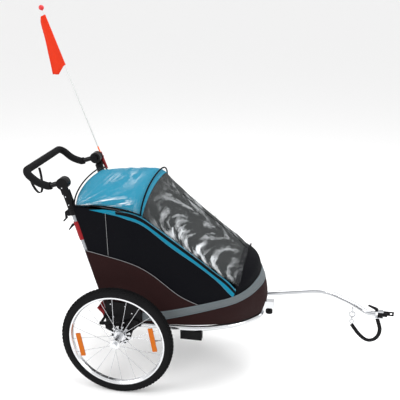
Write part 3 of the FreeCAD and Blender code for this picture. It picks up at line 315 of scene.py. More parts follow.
polished = with_group("polished_aluminium", metal_face,
                      {"Color": (0.66, 0.67, 0.69, 1), "Smooth": 0.1, "Dull": 0.32}, Metallic=1.0)
satin = with_group("satin_aluminium", metal_face,
                   {"Color": (0.3, 0.31, 0.33, 1), "Smooth": 0.3, "Dull": 0.5}, Metallic=1.0)
plated = with_group("plated_steel", metal_face,
                    {"Color": (0.5, 0.51, 0.53, 1), "Smooth": 0.06, "Dull": 0.3, "Grain": 40.0}, Metallic=1.0)
spun = with_group("spun_hub", metal_face,
                  {"Color": (0.72, 0.73, 0.75, 1), "Smooth": 0.16, "Dull": 0.4, "Grain": 90.0}, Metallic=1.0)
dress(polished, "side_rails", "front_bow", "cross_tubes", "front_receiver")
dress(satin, "uprights", "rear_cross_tube", "top_rails", "nose_posts")
dress(plated, "drawbar_tube", "snap_hook", "drawbar_pin")
dress(spun, "hub_right", "hub_left")


# ------------------------------------------------------------------ black castings and mouldings
# Brackets and arms of powder-coated steel, and glass-filled nylon for joints, blocks, knobs
# and levers, moulded with a fine spark-eroded grain.
moulded, given, result = shader_group(
    "moulded_face",
    [("Color", "Color", (0.02, 0.02, 0.02, 1)), ("Grain", "Float", 900.0), ("Relief", "Float", 0.3),
     ("Smooth", "Float", 0.35), ("Dull", "Float", 0.6), ("Wear", "Float", 0.15)],
    [("Color", "Color"), ("Roughness", "Float"), ("Normal", "Vector")])
spot = node(moulded, "ShaderNodeTexCoord").outputs["Object"]
grains = node(moulded, "ShaderNodeTexNoise", [(spot, "Vector"), (given.outputs["Grain"], "Scale")], Detail=2.0)
patches = node(moulded, "ShaderNodeTexNoise", [(spot, "Vector")], Scale=22.0, Detail=6.0, Roughness=0.7)
spread = node(moulded, "ShaderNodeMapRange",
              [(patches.outputs["Fac"], "Value"), (given.outputs["Smooth"], "To Min"), (given.outputs["Dull"], "To Max")],
              From_Min=0.3, From_Max=0.7)
paler = node(moulded, "ShaderNodeMix", [(given.outputs["Color"], 6)], data_type="RGBA", Factor=0.35)
paler.inputs[7].default_value = (0.5, 0.5, 0.5, 1.0)
rub = node(moulded, "ShaderNodeMath", [(patches.outputs["Fac"], 0), (given.outputs["Wear"], 1)], operation="MULTIPLY")
faded = node(moulded, "ShaderNodeMix", [(rub.outputs[0], "Factor"), (given.outputs["Color"], 6), (paler.outputs[2], 7)],
             data_type="RGBA")
pitted = node(moulded, "ShaderNodeBump", [(grains.outputs["Fac"], "Height"), (given.outputs["Relief"], "Strength")],
              Distance=0.0005)
moulded.links.new(faded.outputs[2], result.inputs["Color"])
moulded.links.new(spread.outputs[0], result.inputs["Roughness"])
moulded.links.new(pitted.outputs[0], result.inputs["Normal"])

nylon = with_group("black_nylon", moulded, {"Color": (0.0025, 0.0025, 0.003, 1), "Wear": 0.03},
                   Specular_IOR_Level=0.08)
powder = with_group("powder_coat", moulded, {"Color": (0.0025, 0.0025, 0.003, 1), "Grain": 500.0, "Smooth": 0.25,
                                             "Dull": 0.5, "Wear": 0.03}, Specular_IOR_Level=0.08)
bar_black = with_group("bar_lacquer", moulded, {"Color": (0.0025, 0.0025, 0.003, 1), "Relief": 0.08, "Smooth": 0.18,
                                                "Dull": 0.35, "Wear": 0.03}, Specular_IOR_Level=0.12)
red = with_group("red_nylon", moulded, {"Color": (0.2, 0.001, 0.004, 1), "Smooth": 0.28, "Dull": 0.5, "Wear": 0.02},
                 Specular_IOR_Level=0.2)
foam = with_group("grip_foam", moulded, {"Color": (0.004, 0.004, 0.0045, 1), "Grain": 420.0, "Relief": 0.9,
                                         "Smooth": 0.55, "Dull": 0.85, "Wear": 0.03}, Specular_IOR_Level=0.06)
grey_rubber = with_group("bumper_rubber", moulded, {"Color": (0.012, 0.012, 0.013, 1), "Smooth": 0.5, "Dull": 0.8}, Specular_IOR_Level=0.2)
board = with_group("floor_board", moulded, {"Color": (0.015, 0.015, 0.016, 1), "Grain": 300.0})
dress(nylon, "drawbar_sockets", "receiver_knob", "stem_clamps", "clamp_lever_right",
      "clamp_lever_left", "handle_stems", "hitch_knuckle", "hitch_lever", "hitch_eye", "tilt_button_right",
      "tilt_button_left", "brake_shaft", "latch_lever_right", "latch_lever_left")
dress(powder, "suspension_brackets", "swing_arm_right", "swing_arm_left", "front_hoop")
dress(bar_black, "handlebar_tube")
dress(red, "latch_sleeves", "brake_pedal", "flag_socket")
dress(foam, "handlebar_foam")
dress(grey_rubber, "elastomer_right", "elastomer_left")
dress(board, "floor_tray")


# ------------------------------------------------------------------ skirts and nose
# Brown coated polyester, sewn into a tub that hangs on the base tube. It flares towards the
# belt line and bulges round the nose; a grey reflective band is sewn over it.
def smooth_value(table, key):
    """One value, or several, between the rows of a table, on a smooth curve."""
    keys = [row[0] for row in table]
    i = max(0, min(len(keys) - 2, sum(k <= key for k in keys) - 1))
    span = keys[i + 1] - keys[i]
    t = max(0.0, min(1.0, (key - keys[i]) / span))

    def slope(j, k):
        if j <= 0 or j >= len(keys) - 1:
            a, b = max(0, j - 1), min(len(keys) - 1, j + 1)
        else:
            a, b = j - 1, j + 1
        return (table[b][k] - table[a][k]) / (keys[b] - keys[a]) * span

    found = []
    for k in range(1, len(table[0])):
        p, q = table[i][k], table[i + 1][k]
        m, n = slope(i, k), slope(i + 1, k)
        found.append((2 * t**3 - 3 * t**2 + 1) * p + (t**3 - 2 * t**2 + t) * m
                     + (3 * t**2 - 2 * t**3) * q + (t**3 - t**2) * n)
    return found[0] if len(found) == 1 else found


# run round the body, then x and half width at the hem, x and half width at the belt, bulge
TUB = [(-60, -220, 223, -220, 223.5, 0), (0, -160, 223, -160, 224, 0), (160, 0, 223, 0, 225, 1),
       (360, 200, 219, 200, 226, 3), (490, 325, 203, 330, 226, 5), (610, 430, 176, 450, 222, 9),
       (665, 478, 154, 500, 206, 13), (732, 528, 116, 540, 160, 19), (785, 562, 79, 561, 108, 24),
       (844, 588, 38, 577, 52, 28), (889, 598, 0, 582, 0, 30)]
NOSE_RUN = 889


def tub(run, z, out=0.0, side=-1):
    """A place on the body's wall: a run round it from the rear, a height and a stand-off."""
    low_x, low_y, high_x, high_y, bulge = smooth_value(TUB, run)
    v = (z - 300) / 200
    ahead = smooth_value(TUB, min(NOSE_RUN, run + 4))
    back = smooth_value(TUB, max(-60, run - 4))
    dx, dy = ahead[2] - back[2], ahead[3] - back[3]
    long = math.hypot(dx, dy) or 1.0
    normal = (-dy / long, dx / long) if run < NOSE_RUN else (1.0, 0.0)
    grow = out + bulge * math.sin(math.pi * max(0.0, min(1.0, v * 0.9 + 0.05)))
    w = min(v, 1.0)
    x = low_x + (high_x - low_x) * w + abs(normal[0]) * grow
    y = low_y + (high_y - low_y) * w + abs(normal[1]) * grow
    return at(x, side * y, z)


def cloth(name, rows, wall=0.0012, inside_at=None):
    """A cloth sheet from rows of places, with a UV map in metres and a thin solid wall."""
    mesh = bmesh.new()
    uv = mesh.loops.layers.uv.new("UVMap")
    grid = [[mesh.verts.new(p) for p in row] for row in rows]
    across = [0.0]
    middle = rows[len(rows) // 2]
    for a, b in zip(middle, middle[1:]):
        across.append(across[-1] + (b - a).length)
    down = [0.0]
    for a, b in zip(rows, rows[1:]):
        k = len(a) // 2
        down.append(down[-1] + (b[k] - a[k]).length)
    for i in range(len(grid) - 1):
        for k in range(len(grid[0]) - 1):
            corners = [(i, k), (i, k + 1), (i + 1, k + 1), (i + 1, k)]
            face = mesh.faces.new([grid[a][b] for a, b in corners])
            for corner, (a, b) in zip(face.loops, corners):
                corner[uv].uv = (across[b], down[a])
    bmesh.ops.remove_doubles(mesh, verts=mesh.verts, dist=0.00002)
    bmesh.ops.recalc_face_normals(mesh, faces=mesh.faces)
    core = inside_at or at(180, 0, 500)
    mesh.normal_update()
    outward = sum((f.calc_center_median() - core).dot(f.normal) * f.calc_area() for f in mesh.faces)
    if outward < 0:
        bmesh.ops.reverse_faces(mesh, faces=mesh.faces)
    data = bpy.data.meshes.new(name)
    mesh.to_mesh(data)
    mesh.free()
    made = bpy.data.objects.new(name, data)
    bpy.context.collection.objects.link(made)
    if wall:
        solid = made.modifiers.new("wall", "SOLIDIFY")
        solid.thickness = wall
        solid.offset = -1.0
    return made


def crumple(piece):
    """Gives a fabric piece its own copy of its mesh data."""
    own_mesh(piece)


BROWN_EDGE = [(0, 628), (120, 603), (235, 573), (310, 532), (400, 460), (450, 430), (520, 409),
              (610, 443), (700, 470), (800, 488), (889, 497)]
BAND_TOP = [(250, 350), (350, 367), (520, 414), (610, 443), (665, 462), (732, 479), (800, 491), (889, 500)]
BAND_LOW = [(250, 306), (350, 324), (520, 372), (610, 401), (665, 420), (732, 437), (800, 449), (889, 458)]


def both_ways(make, first, last, count):
    """Places for a run that goes from the right rear, round the nose, to the left rear."""
    runs = [first + (last - first) * i / count for i in range(count + 1)]
    return [make(r, -1) for r in runs] + [make(r, 1) for r in reversed(runs[:-1])]


def rear_run(z):
    """Where the rear edge of the side cloth is at a height, along the leaning upright."""
    return 160 - 64 - 0.296 * (z - 330) - 4


def skirt_place(run, part, side):
    """A place on the skirt between hem and upper edge, with soft puckers above the hem."""
    low = 300.0
    for _ in range(4):
        high = smooth_value(BROWN_EDGE, max(0, run))
        z = low + (high - low) * part
        share = (run - 0) / NOSE_RUN
        here = rear_run(z) + (NOSE_RUN - rear_run(z)) * share
    high = smooth_value(BROWN_EDGE, max(0, here))
    z = low + (high - low) * part
    ripple = noise.noise(Vector((here / 70, z / 60, side * 3.0))) * 1.6 * math.sin(math.pi * part)
    return tub(here, z, ripple, side)


brown = with_group("brown_polyester", weave,
                   {"Color": (0.02, 0.0065, 0.0065, 1), "Threads": 520.0, "Depth": 0.5, "Contrast": 0.35,
                    "Creases": 7.0, "Crease_Depth": 0.5}, Specular_IOR_Level=0.08)
skirt_rows = [both_ways(lambda r, side: skirt_place(r, i / 16, side), 0, NOSE_RUN, 90) for i in range(17)]
skirts = cloth("skirts_and_nose", skirt_rows)
settle(skirts, brown, "chassis", ["side_skirts", "nose_shell"])
crumple(skirts)

grey_band = with_group("reflective_band", weave,
                       {"Color": (0.13, 0.15, 0.16, 1), "Threads": 700.0, "Depth": 0.35, "Contrast": 0.3,
                        "Creases": 30.0, "Crease_Depth": 0.25}, Metallic=0.35)
band_rows = [both_ways(lambda r, side: tub(r, smooth_value(BAND_LOW, r) + (smooth_value(BAND_TOP, r)
             - smooth_value(BAND_LOW, r)) * i / 4, 2.6 if 0 < i < 4 else 2.0, side), 250, NOSE_RUN, 64)
             for i in range(5)]
band = cloth("reflective_band", band_rows, 0.0008)
settle(band, grey_band, "chassis")
crumple(band)


# ------------------------------------------------------------------ side panels
# Fine black mesh behind glossy film, one panel a side, from the brown edge up to the roof hem
# and the blue trim, with one pale seam near the upright.
TRIM_LOW = [(104, 809), (190, 784), (267, 758), (382, 672), (509, 587), (590, 522), (652, 452)]
TRIM_TOP = [(126, 820), (243, 806), (340, 746), (467, 656), (573, 574), (630, 530), (664, 489)]


def panel_place(run, part, side):
    """A place on the side panel between the brown edge and the hem or the trim."""
    here = run
    for _ in range(5):
        low = smooth_value(BROWN_EDGE, max(0, min(here, 640))) - 3
        if here > 520:
            low = smooth_value(BAND_TOP, here) - 3
        high = smooth_value(TRIM_LOW, here) + 3 if here > 104 else 816 + 10 * (104 - here) / 145
        z = low + (high - low) * part
        rear = rear_run(z) + 12
        here = rear + (652 - rear) * run / 652
    ripple = noise.noise(Vector((here / 60, z / 130, side * 7.0))) * 1.8 * math.sin(math.pi * part)
    return tub(here, z, -0.6 + ripple, side)


panel_cloth = with_group("black_panel_mesh", weave,
                         {"Color": (0.002, 0.0022, 0.0038, 1), "Threads": 1100.0, "Depth": 0.25, "Contrast": 0.3,
                          "Creases": 5.0, "Crease_Depth": 0.9}, Specular_IOR_Level=0.07)
for side, word in ((-1, "right"), (1, "left")):
    rows = [[panel_place(652 * k / 60, i / 18, side) for k in range(61)] for i in range(19)]
    panel = cloth("side_panel_" + word, rows, 0.001)
    settle(panel, panel_cloth, "chassis", ["side_panels"])
    crumple(panel)


# ------------------------------------------------------------------ roof, trim and window
# Cyan polyester roof over the hoop, running down both sides as a trim with a black zip in it;
# between the trims a dark grey mesh window falls from the roof to the nose.
blue = with_group("cyan_polyester", weave,
                  {"Color": (0.004, 0.19, 0.3, 1), "Threads": 620.0, "Depth": 0.35, "Contrast": 0.22,
                   "Creases": 9.0, "Crease_Depth": 0.55}, Specular_IOR_Level=0.12)


def arch(edge_x, half, edge_z, crown_x, crown_z, turn, out=0.0, power=2.3):
    """A place on a rounded arch from the right edge (turn -1) over the crown to the left (1)."""
    angle = turn * math.pi / 2
    rise = abs(math.cos(angle)) ** (2 / power)
    wide = abs(math.sin(angle)) ** (2 / power) * (1 if turn >= 0 else -1)
    return at(edge_x + (crown_x - edge_x) * rise, wide * (half + out), edge_z + (crown_z - edge_z) * rise
              + out * rise)


# station, edge x, half width, edge z, crown x, crown z
ROOF = [(0, -186, 219, 822, -184, 893), (0.35, -92, 222, 830, -84, 908), (0.7, -6, 225, 826, 8, 917),
        (1.0, 72, 226, 812, 92, 919), (1.18, 104, 227, 793, 128, 902)]
WINDOW = [(0, 100, 226, 793, 126, 900), (0.3, 180, 226, 744, 193, 826), (0.6, 307, 226, 655, 307, 716),
          (0.8, 413, 222, 573, 407, 640), (0.92, 470, 214, 535, 466, 600), (1.0, 505, 206, 505, 508, 562)]


def shell(table, first, last, rows, columns, out=0.0, bumps=0.0, seed=0.0, power=2.3):
    """Rows of places on a run of arches, with soft folds of the given height in mm."""
    made = []
    for i in range(rows + 1):
        key = first + (last - first) * i / rows
        values = smooth_value(table, key)
        row = []
        for k in range(columns + 1):
            turn = -1 + 2 * k / columns
            fold = noise.noise(Vector((key * 9, turn * 3.1, seed))) * bumps * (1 - abs(turn) ** 6)
            row.append(arch(*values, turn, out + fold, power))
        made.append(row)
    return made


roof_rows = shell(ROOF, 0, 1.18, 40, 64, 0.0, 2.4, 2.0)
roof = cloth("roof", roof_rows, inside_at=at(0, 0, 700))
settle(roof, blue, "chassis", ["canopy"])
crumple(roof)

window_mesh = with_group("grey_window_mesh", weave,
                         {"Color": (0.013, 0.0155, 0.0155, 1), "Threads": 800.0, "Depth": 0.5, "Contrast": 0.6,
                          "Creases": 16.0, "Crease_Depth": 0.8}, Specular_IOR_Level=0.2)
window_rows = shell(WINDOW, 0, 1, 44, 56, -1.0, 2.0, 5.0)
window = cloth("front_window", window_rows, 0.0008, inside_at=at(150, 0, 500))
settle(window, window_mesh, "chassis", ["front_cover"])
crumple(window)

trim_pieces = []
for side, word in ((-1, "right"), (1, "left")):
    rows = []
    for i in range(9):
        part = i / 8
        row = []
        for k in range(65):
            share = k / 64
            low_run, top_run = 104 + (652 - 104) * share, 126 + (664 - 126) * share
            z = smooth_value(TRIM_LOW, low_run) * (1 - part) + smooth_value(TRIM_TOP, top_run) * part
            run = low_run * (1 - part) + top_run * part
            wedge = max(0.0, 1 - share / 0.1)
            row.append(tub(run - 70 * wedge * (1 - 0.6 * part), z + wedge * 5 * (1 - part), 1.8, side))
        rows.append(row)
    trim = cloth("blue_trim_" + word, rows, 0.0012)
    settle(trim, blue, "chassis")
    crumple(trim)
    trim_pieces.append(trim)

black_tape = with_group("black_tape", weave,
                        {"Color": (0.003, 0.003, 0.004, 1), "Threads": 900.0, "Depth": 0.6, "Creases": 40.0},
                        Specular_IOR_Level=0.08)


def tube_along(name, places, radius, material, body="chassis", fine=10, sides=3):
    """A round cord or binding through the given control points, as a closed mesh."""
    curve = bpy.data.curves.new(name, "CURVE")
    curve.dimensions = "3D"
    curve.resolution_u = fine
    spline = curve.splines.new("NURBS")
    spline.points.add(len(places) - 1)
    for point, place in zip(spline.points, places):
        point.co = (*place, 1.0)
    spline.order_u = 3
    spline.use_endpoint_u = True
    curve.bevel_depth = radius
    curve.bevel_resolution = sides
    curve.use_fill_caps = True
    holder = bpy.data.objects.new(name, curve)
    bpy.context.collection.objects.link(holder)
    bpy.context.view_layer.update()
    data = bpy.data.meshes.new_from_object(holder)
    bpy.data.objects.remove(holder)
    made = bpy.data.objects.new(name, data)
    bpy.context.collection.objects.link(made)
    return settle(made, material, body)


for side, word in ((-1, "right"), (1, "left")):
    rows = []
    for i, offset in enumerate((-8.0, -2.5, 2.5, 8.0)):
        row = []
        for k in range(65):
            share = 0.06 + 0.94 * k / 64
            low_run, top_run = 104 + 548 * share, 126 + 538 * share
            part = 0.62 + 0.06 * share
            z = smooth_value(TRIM_LOW, low_run) * (1 - part) + smooth_value(TRIM_TOP, top_run) * part
            run = low_run * (1 - part) + top_run * part
            row.append(tub(run, z + offset, 3.6 if i in (1, 2) else 2.6, side))
        rows.append(row)
    zip_band = cloth("zip_" + word, rows, 0.001)
    settle(zip_band, black_tape, "chassis")
    crumple(zip_band)

# The nose cap closes the tub above the band: black cloth up to the foot of the window.
cap_rows = []
for i in range(9):
    t = i / 8
    row = []
    for k in range(61):
        turn = -1 + 2 * k / 60
        side = -1 if turn < 0 else 1
        run = 664 + (NOSE_RUN - 664) * (1 - abs(turn))
        belt = tub(run, smooth_value(BAND_TOP, run) - 2, -1.0, side)
        lip = arch(*smooth_value(WINDOW, 0.985), turn, -0.5)
        swell = 26 * math.sin(math.pi * t) * (1 - abs(turn) ** 2)
        row.append(belt.lerp(lip, t) + Vector((0.8, 0, 0.55)) * (swell / 1000))
    cap_rows.append(row)
cap = cloth("nose_cap", cap_rows, 0.0012, inside_at=at(430, 0, 420))
settle(cap, panel_cloth, "chassis")
crumple(cap)


# ------------------------------------------------------------------ rain film and bindings
# One clear vinyl sheet over roof and window, creased from storage, bound in black tape and
# stretched over a thin sprung rod; pale piping marks the seams of the sides.
FILM = [(0, -190, 223, 827, -188, 900), (0.3, -92, 226, 835, -84, 917), (0.55, -6, 229, 831, 8, 927),
        (0.8, 84, 231, 813, 100, 931), (1.0, 130, 231, 779, 152, 885), (1.3, 230, 231, 712, 240, 796),
        (1.7, 360, 229, 616, 372, 680), (2.0, 450, 222, 552, 462, 618), (2.22, 515, 208, 502, 524, 566)]


def film_place(key, turn):
    """A place on the film, with creases fanned from the rear corners and across the window."""
    values = smooth_value(FILM, key)
    edge = 1 - abs(turn) ** 8
    low = noise.noise(Vector((key * 5.0, turn * 4.0, 1.5))) * 4.0
    fine = noise.noise(Vector((key * 17.0 + turn * 6.0, turn * 9.0, 4.0)))
    sharp = (1 - abs(fine)) ** 3
    return arch(*values, turn, 2.0 + (low + sharp * 3.0) * edge)


film_rows = [[film_place(2.22 * i / 150, -1 + 2 * k / 110) for k in range(111)] for i in range(151)]
film = cloth("rain_film", film_rows, 0.0, inside_at=at(150, 0, 500))
# Painted highlights: these weights place whitish streaks on the film, standing for glints off the creased vinyl. They
# are strongest along the roof hem, on the top of the roof and on the sides of the window slope.
crease = film.data.attributes.new("crease", "FLOAT", "POINT")
fan = film.data.attributes.new("fan", "FLOAT_VECTOR", "POINT")
levels, fans = [], []
for vertex in film.data.vertices:
    x, y, z = (vertex.co.x + 0.351) * 1000, vertex.co.y * 1000, vertex.co.z * 1000
    reach = math.hypot(x + 190, z - 826)
    angle = math.atan2(z - 826, x + 190)
    roof_part = max(0.0, min(1.0, (95 - x) / 40))
    hem = math.exp(-((z - 842) / 30) ** 2) * (0.35 + 0.65 * math.exp(-((x + 20) / 90) ** 2))
    top = math.exp(-((x - 10) / 90) ** 2) * math.exp(-((abs(y) - 90) / 60) ** 2) * 0.5
    window_part = max(0.0, min(1.0, (x - 70) / 60))
    side_part = math.exp(-((abs(y) - 212) / 40) ** 2) * math.exp(-((x - 300) / 110) ** 2)
    slope = max(0.0, min(1.0, (x - 120) / 80)) * max(0.0, min(1.0, (540 - x) / 80))
    levels.append(roof_part * (hem + top) * 1.1 + window_part * slope * (0.3 + 0.55 * side_part))
    fans.append((angle * 9.0 * roof_part + window_part * (x * 0.5 - z * 0.85) / 110,
                 reach / 160 * roof_part + window_part * (x * 0.85 + z * 0.5 + abs(y) * 0.4) / 26, y / 300))
crease.data.foreach_set("value", levels)
fan.data.foreach_set("vector", [v for row in fans for v in row])

vinyl = plain_material("clear_vinyl", Base_Color=(0.93, 0.97, 1.0, 1), Roughness=0.07, Specular_IOR_Level=0.55)
tree = vinyl.node_tree
spread = node(tree, "ShaderNodeAttribute", attribute_name="crease")
ways = node(tree, "ShaderNodeAttribute", attribute_name="fan")
streaks = node(tree, "ShaderNodeTexNoise", [(ways.outputs["Vector"], "Vector")], Scale=1.6, Detail=7.0,
               Roughness=0.62, Distortion=0.25)
ridge = node(tree, "ShaderNodeMapRange", [(streaks.outputs["Fac"], "Value")], From_Min=0.5, From_Max=0.64,
             To_Min=0.0, To_Max=1.0)
seen = node(tree, "ShaderNodeMath", [(ridge.outputs[0], 0), (spread.outputs["Fac"], 1)], operation="MULTIPLY")
# Painted highlight: along the streaks the film turns opaque in its whitish base colour; elsewhere it stays nearly
# clear.
painted_highlight_alpha = node(tree, "ShaderNodeMapRange", [(seen.outputs[0], "Value")], To_Min=0.018, To_Max=0.85)
crease_bump = node(tree, "ShaderNodeBump", [(streaks.outputs["Fac"], "Height")], Strength=0.5, Distance=0.004)
tree.links.new(painted_highlight_alpha.outputs[0], tree.nodes["Principled BSDF"].inputs["Alpha"])
tree.links.new(crease_bump.outputs[0], tree.nodes["Principled BSDF"].inputs["Normal"])
settle(film, vinyl, "chassis", ["rain_cover"])
crumple(film)

for name, key, radius in (("film_rear_binding", 0.0, 0.0034), ("film_rod", 0.86, 0.0036),
                          ("film_front_binding", 2.22, 0.0022)):
    spots = [arch(*smooth_value(FILM, key), -1 + 2 * k / 22, 4.5) for k in range(23)]
    crumple(tube_along(name, spots, radius, black_tape, fine=6))
for side, word in ((-1, "right"), (1, "left")):
    hem = [arch(*smooth_value(FILM, 0.84 * k / 10), side, 1.0) for k in range(11)]
    crumple(tube_along("hem_binding_" + word, hem, 0.003, black_tape))
    ledge = [arch(*smooth_value(FILM, 0.86 + 1.36 * k / 12), side * 0.98, 1.5) for k in range(13)]
    crumple(tube_along("film_side_binding_" + word, ledge, 0.0014, black_tape))
line = [arch(*smooth_value(FILM, 1.24 + 0.98 * k / 10), 0.1, 3.0 + 14.0 * math.sin(math.pi * k / 10))
        for k in range(11)]
crumple(tube_along("film_tension_cord", line, 0.0017, black_tape))

pale_piping = with_group("pale_piping", moulded, {"Color": (0.16, 0.165, 0.17, 1), "Smooth": 0.3, "Dull": 0.5})
for side, word in ((-1, "right"), (1, "left")):
    seam = [tub(max(rear_run(627), run), smooth_value(BROWN_EDGE, run), 2.2, side)
            for run in (6, 60, 120, 180, 240, 300, 350, 400, 450, 500)]
    crumple(tube_along("belt_piping_" + word, seam, 0.0013, pale_piping))
    seam = [tub(105 + k * 0.6, 804 - 192 * k / 6, 1.6, side) for k in range(7)]
    crumple(tube_along("panel_seam_" + word, seam, 0.0011, pale_piping))


# ------------------------------------------------------------------ seat and harness
# A foam seat pad and a hung back pad in grey polyester with sewn channels, and two shoulder
# straps of black webbing that meet at a push-button buckle.
def pad(name, low, high, flat, channels, turn):
    """A crowned pad in its own box, in mm: blown up as cloth, sewn in channels, then placed."""
    mesh = bmesh.new()
    bmesh.ops.create_cube(mesh, size=1.0)
    for v in mesh.verts:
        v.co = Vector([((a + b) / 2 + c * (b - a - 8)) / 1000 for a, b, c in zip(low, high, v.co)])
    bmesh.ops.bevel(mesh, geom=mesh.edges[:], offset=0.008, segments=3, affect="EDGES")
    data = bpy.data.meshes.new(name)
    mesh.to_mesh(data)
    mesh.free()
    holder = bpy.data.objects.new(name, data)
    bpy.context.collection.objects.link(holder)
    fine = holder.modifiers.new("voxels", "REMESH")
    fine.mode = "VOXEL"
    fine.voxel_size = 0.006
    bpy.context.view_layer.update()
    shape = bpy.data.meshes.new_from_object(holder.evaluated_get(bpy.context.evaluated_depsgraph_get()))
    bpy.data.objects.remove(holder)
    made = bpy.data.objects.new(name, shape)
    bpy.context.collection.objects.link(made)
    blown = made.modifiers.new("filling", "CLOTH")
    blown.settings.use_pressure = True
    blown.settings.uniform_pressure_force = 4.0
    blown.settings.effector_weights.gravity = 0.0
    for step in range(1, 21):
        bpy.context.scene.frame_set(step)
    swollen = bpy.data.meshes.new_from_object(made.evaluated_get(bpy.context.evaluated_depsgraph_get()))
    places = [v.co.copy() for v in swollen.vertices]
    made.modifiers.remove(blown)
    bpy.context.scene.frame_set(1)
    for vertex, place in zip(made.data.vertices, places):
        step = place - vertex.co
        vertex.co += step * min(1.0, 0.008 / max(step.length, 1e-9))
    for vertex in made.data.vertices:
        share = [(2000 * c - a - b) / (b - a) for a, b, c in zip(low, high, vertex.co)]
        others = [share[i] for i in range(3) if i != flat]
        crown = max(0.0, 1 - others[0] ** 4) * max(0.0, 1 - others[1] ** 4)
        if share[flat] > 0.2:
            sewn = sum(math.exp(-((vertex.co[axis] * 1000 - where) / 5.5) ** 2) for axis, where in channels)
            vertex.co[flat] += (0.003 * crown - 0.006 * min(1.0, sewn) * min(1.0, crown * 3)
                                + 0.0012 * noise.noise(vertex.co * 22))
        vertex.co[flat] = max(vertex.co[flat], low[flat] / 1000)
        vertex.co = turn @ vertex.co
    smoother = made.modifiers.new("smoother", "SUBSURF")
    smoother.levels = smoother.render_levels = 1
    return made


lean = math.radians(16.5)
level_pad = Matrix.Translation((-0.351, 0, 0))
hung_pad = Matrix.Translation(at(-64, 0, 330)) @ Matrix(
    ((math.cos(lean), 0, -math.sin(lean), 0), (0, 1, 0, 0), (math.sin(lean), 0, math.cos(lean), 0), (0, 0, 0, 1)))
seat_cloth = with_group("grey_seat_polyester", weave,
                        {"Color": (0.075, 0.078, 0.082, 1), "Threads": 480.0, "Depth": 0.7, "Contrast": 0.45,
                         "Creases": 12.0, "Crease_Depth": 0.4}, Sheen_Weight=0.2, Sheen_Roughness=0.5)
seat = pad("seat_pad", (-40, -165, 299.5), (210, 165, 337), 2, [(1, -55), (1, 55), (0, 130)], level_pad)
settle(seat, seat_cloth, "chassis", ["seat_cushion"])
back_pad = pad("back_pad", (16, -160, 60), (40, 160, 500), 0, [(1, 0), (2, 180), (2, 310), (2, 420)], hung_pad)
settle(back_pad, seat_cloth, "chassis", ["backrest"])
crumple(back_pad)


def leaning(x, y, along):
    """A place on the leaning back: stand-off, side and height along it, in mm."""
    return hung_pad @ (Vector((x, y, along)) / 1000)


for side, word in ((-1, "right"), (1, "left")):
    route = [leaning(x, side * y, a) for x, y, a in
             ((44, 62, 470), (47, 60, 400), (49, 58, 300), (49, 54, 200), (51, 42, 160), (51, 20, 130), (50, 12, 118))]
    strap = ribbon("shoulder_strap_" + word, smooth_line(route), (0, 1, 0), 0.025, 0.0024)
    settle(strap, webbing, "chassis", ["harness"])
    crumple(strap)


def rounded_block(name, low, high, rim, turn):
    """A moulded block between two corners in mm, with rounded edges, put in its place."""
    mesh = bmesh.new()
    bmesh.ops.create_cube(mesh, size=1.0)
    for v in mesh.verts:
        v.co = Vector([((a + b) / 2 + c * (b - a)) / 1000 for a, b, c in zip(low, high, v.co)])
    bmesh.ops.bevel(mesh, geom=mesh.edges[:], offset=rim / 1000, segments=3, affect="EDGES")
    bmesh.ops.transform(mesh, matrix=turn, verts=mesh.verts)
    data = bpy.data.meshes.new(name)
    mesh.to_mesh(data)
    mesh.free()
    made = bpy.data.objects.new(name, data)
    bpy.context.collection.objects.link(made)
    return made


crumple(settle(rounded_block("buckle_body", (45, -22, 90), (56, 22, 140), 3.5, hung_pad), nylon, "chassis"))
crumple(settle(rounded_block("buckle_button", (55, -11, 101), (58, 11, 124), 1.4, hung_pad), red, "chassis"))


# ------------------------------------------------------------------ flag
# A white fibreglass pole with a red ball at its tip and an orange ferrule at its foot; the
# pennant is thin orange-red nylon with a sleeve, and hangs in soft waves.
pole_face = with_group("pole_ball_and_ferrule", moulded, {"Smooth": 0.25, "Dull": 0.4, "Wear": 0.02, "Relief": 0.1})
tree = pole_face.node_tree
height = node(tree, "ShaderNodeSeparateXYZ", [(node(tree, "ShaderNodeTexCoord").outputs["Object"], "Vector")])
bands = node(tree, "ShaderNodeValToRGB")
tree.links.new(node(tree, "ShaderNodeMapRange", [(height.outputs["Z"], "Value")], From_Min=0.8, From_Max=1.62).outputs[0],
               bands.inputs["Fac"])
bands.color_ramp.interpolation = "CONSTANT"
bands.color_ramp.elements[0].color = (0.75, 0.12, 0.01, 1)
bands.color_ramp.elements[1].position = 0.2
bands.color_ramp.elements[1].color = (0.5, 0.51, 0.5, 1)
ball = bands.color_ramp.elements.new(0.965)
ball.color = (0.5, 0.006, 0.01, 1)
placed = next(n for n in tree.nodes if n.type == "GROUP")
tree.links.new(bands.outputs["Color"], placed.inputs["Color"])
dress(pole_face, "flag_pole")

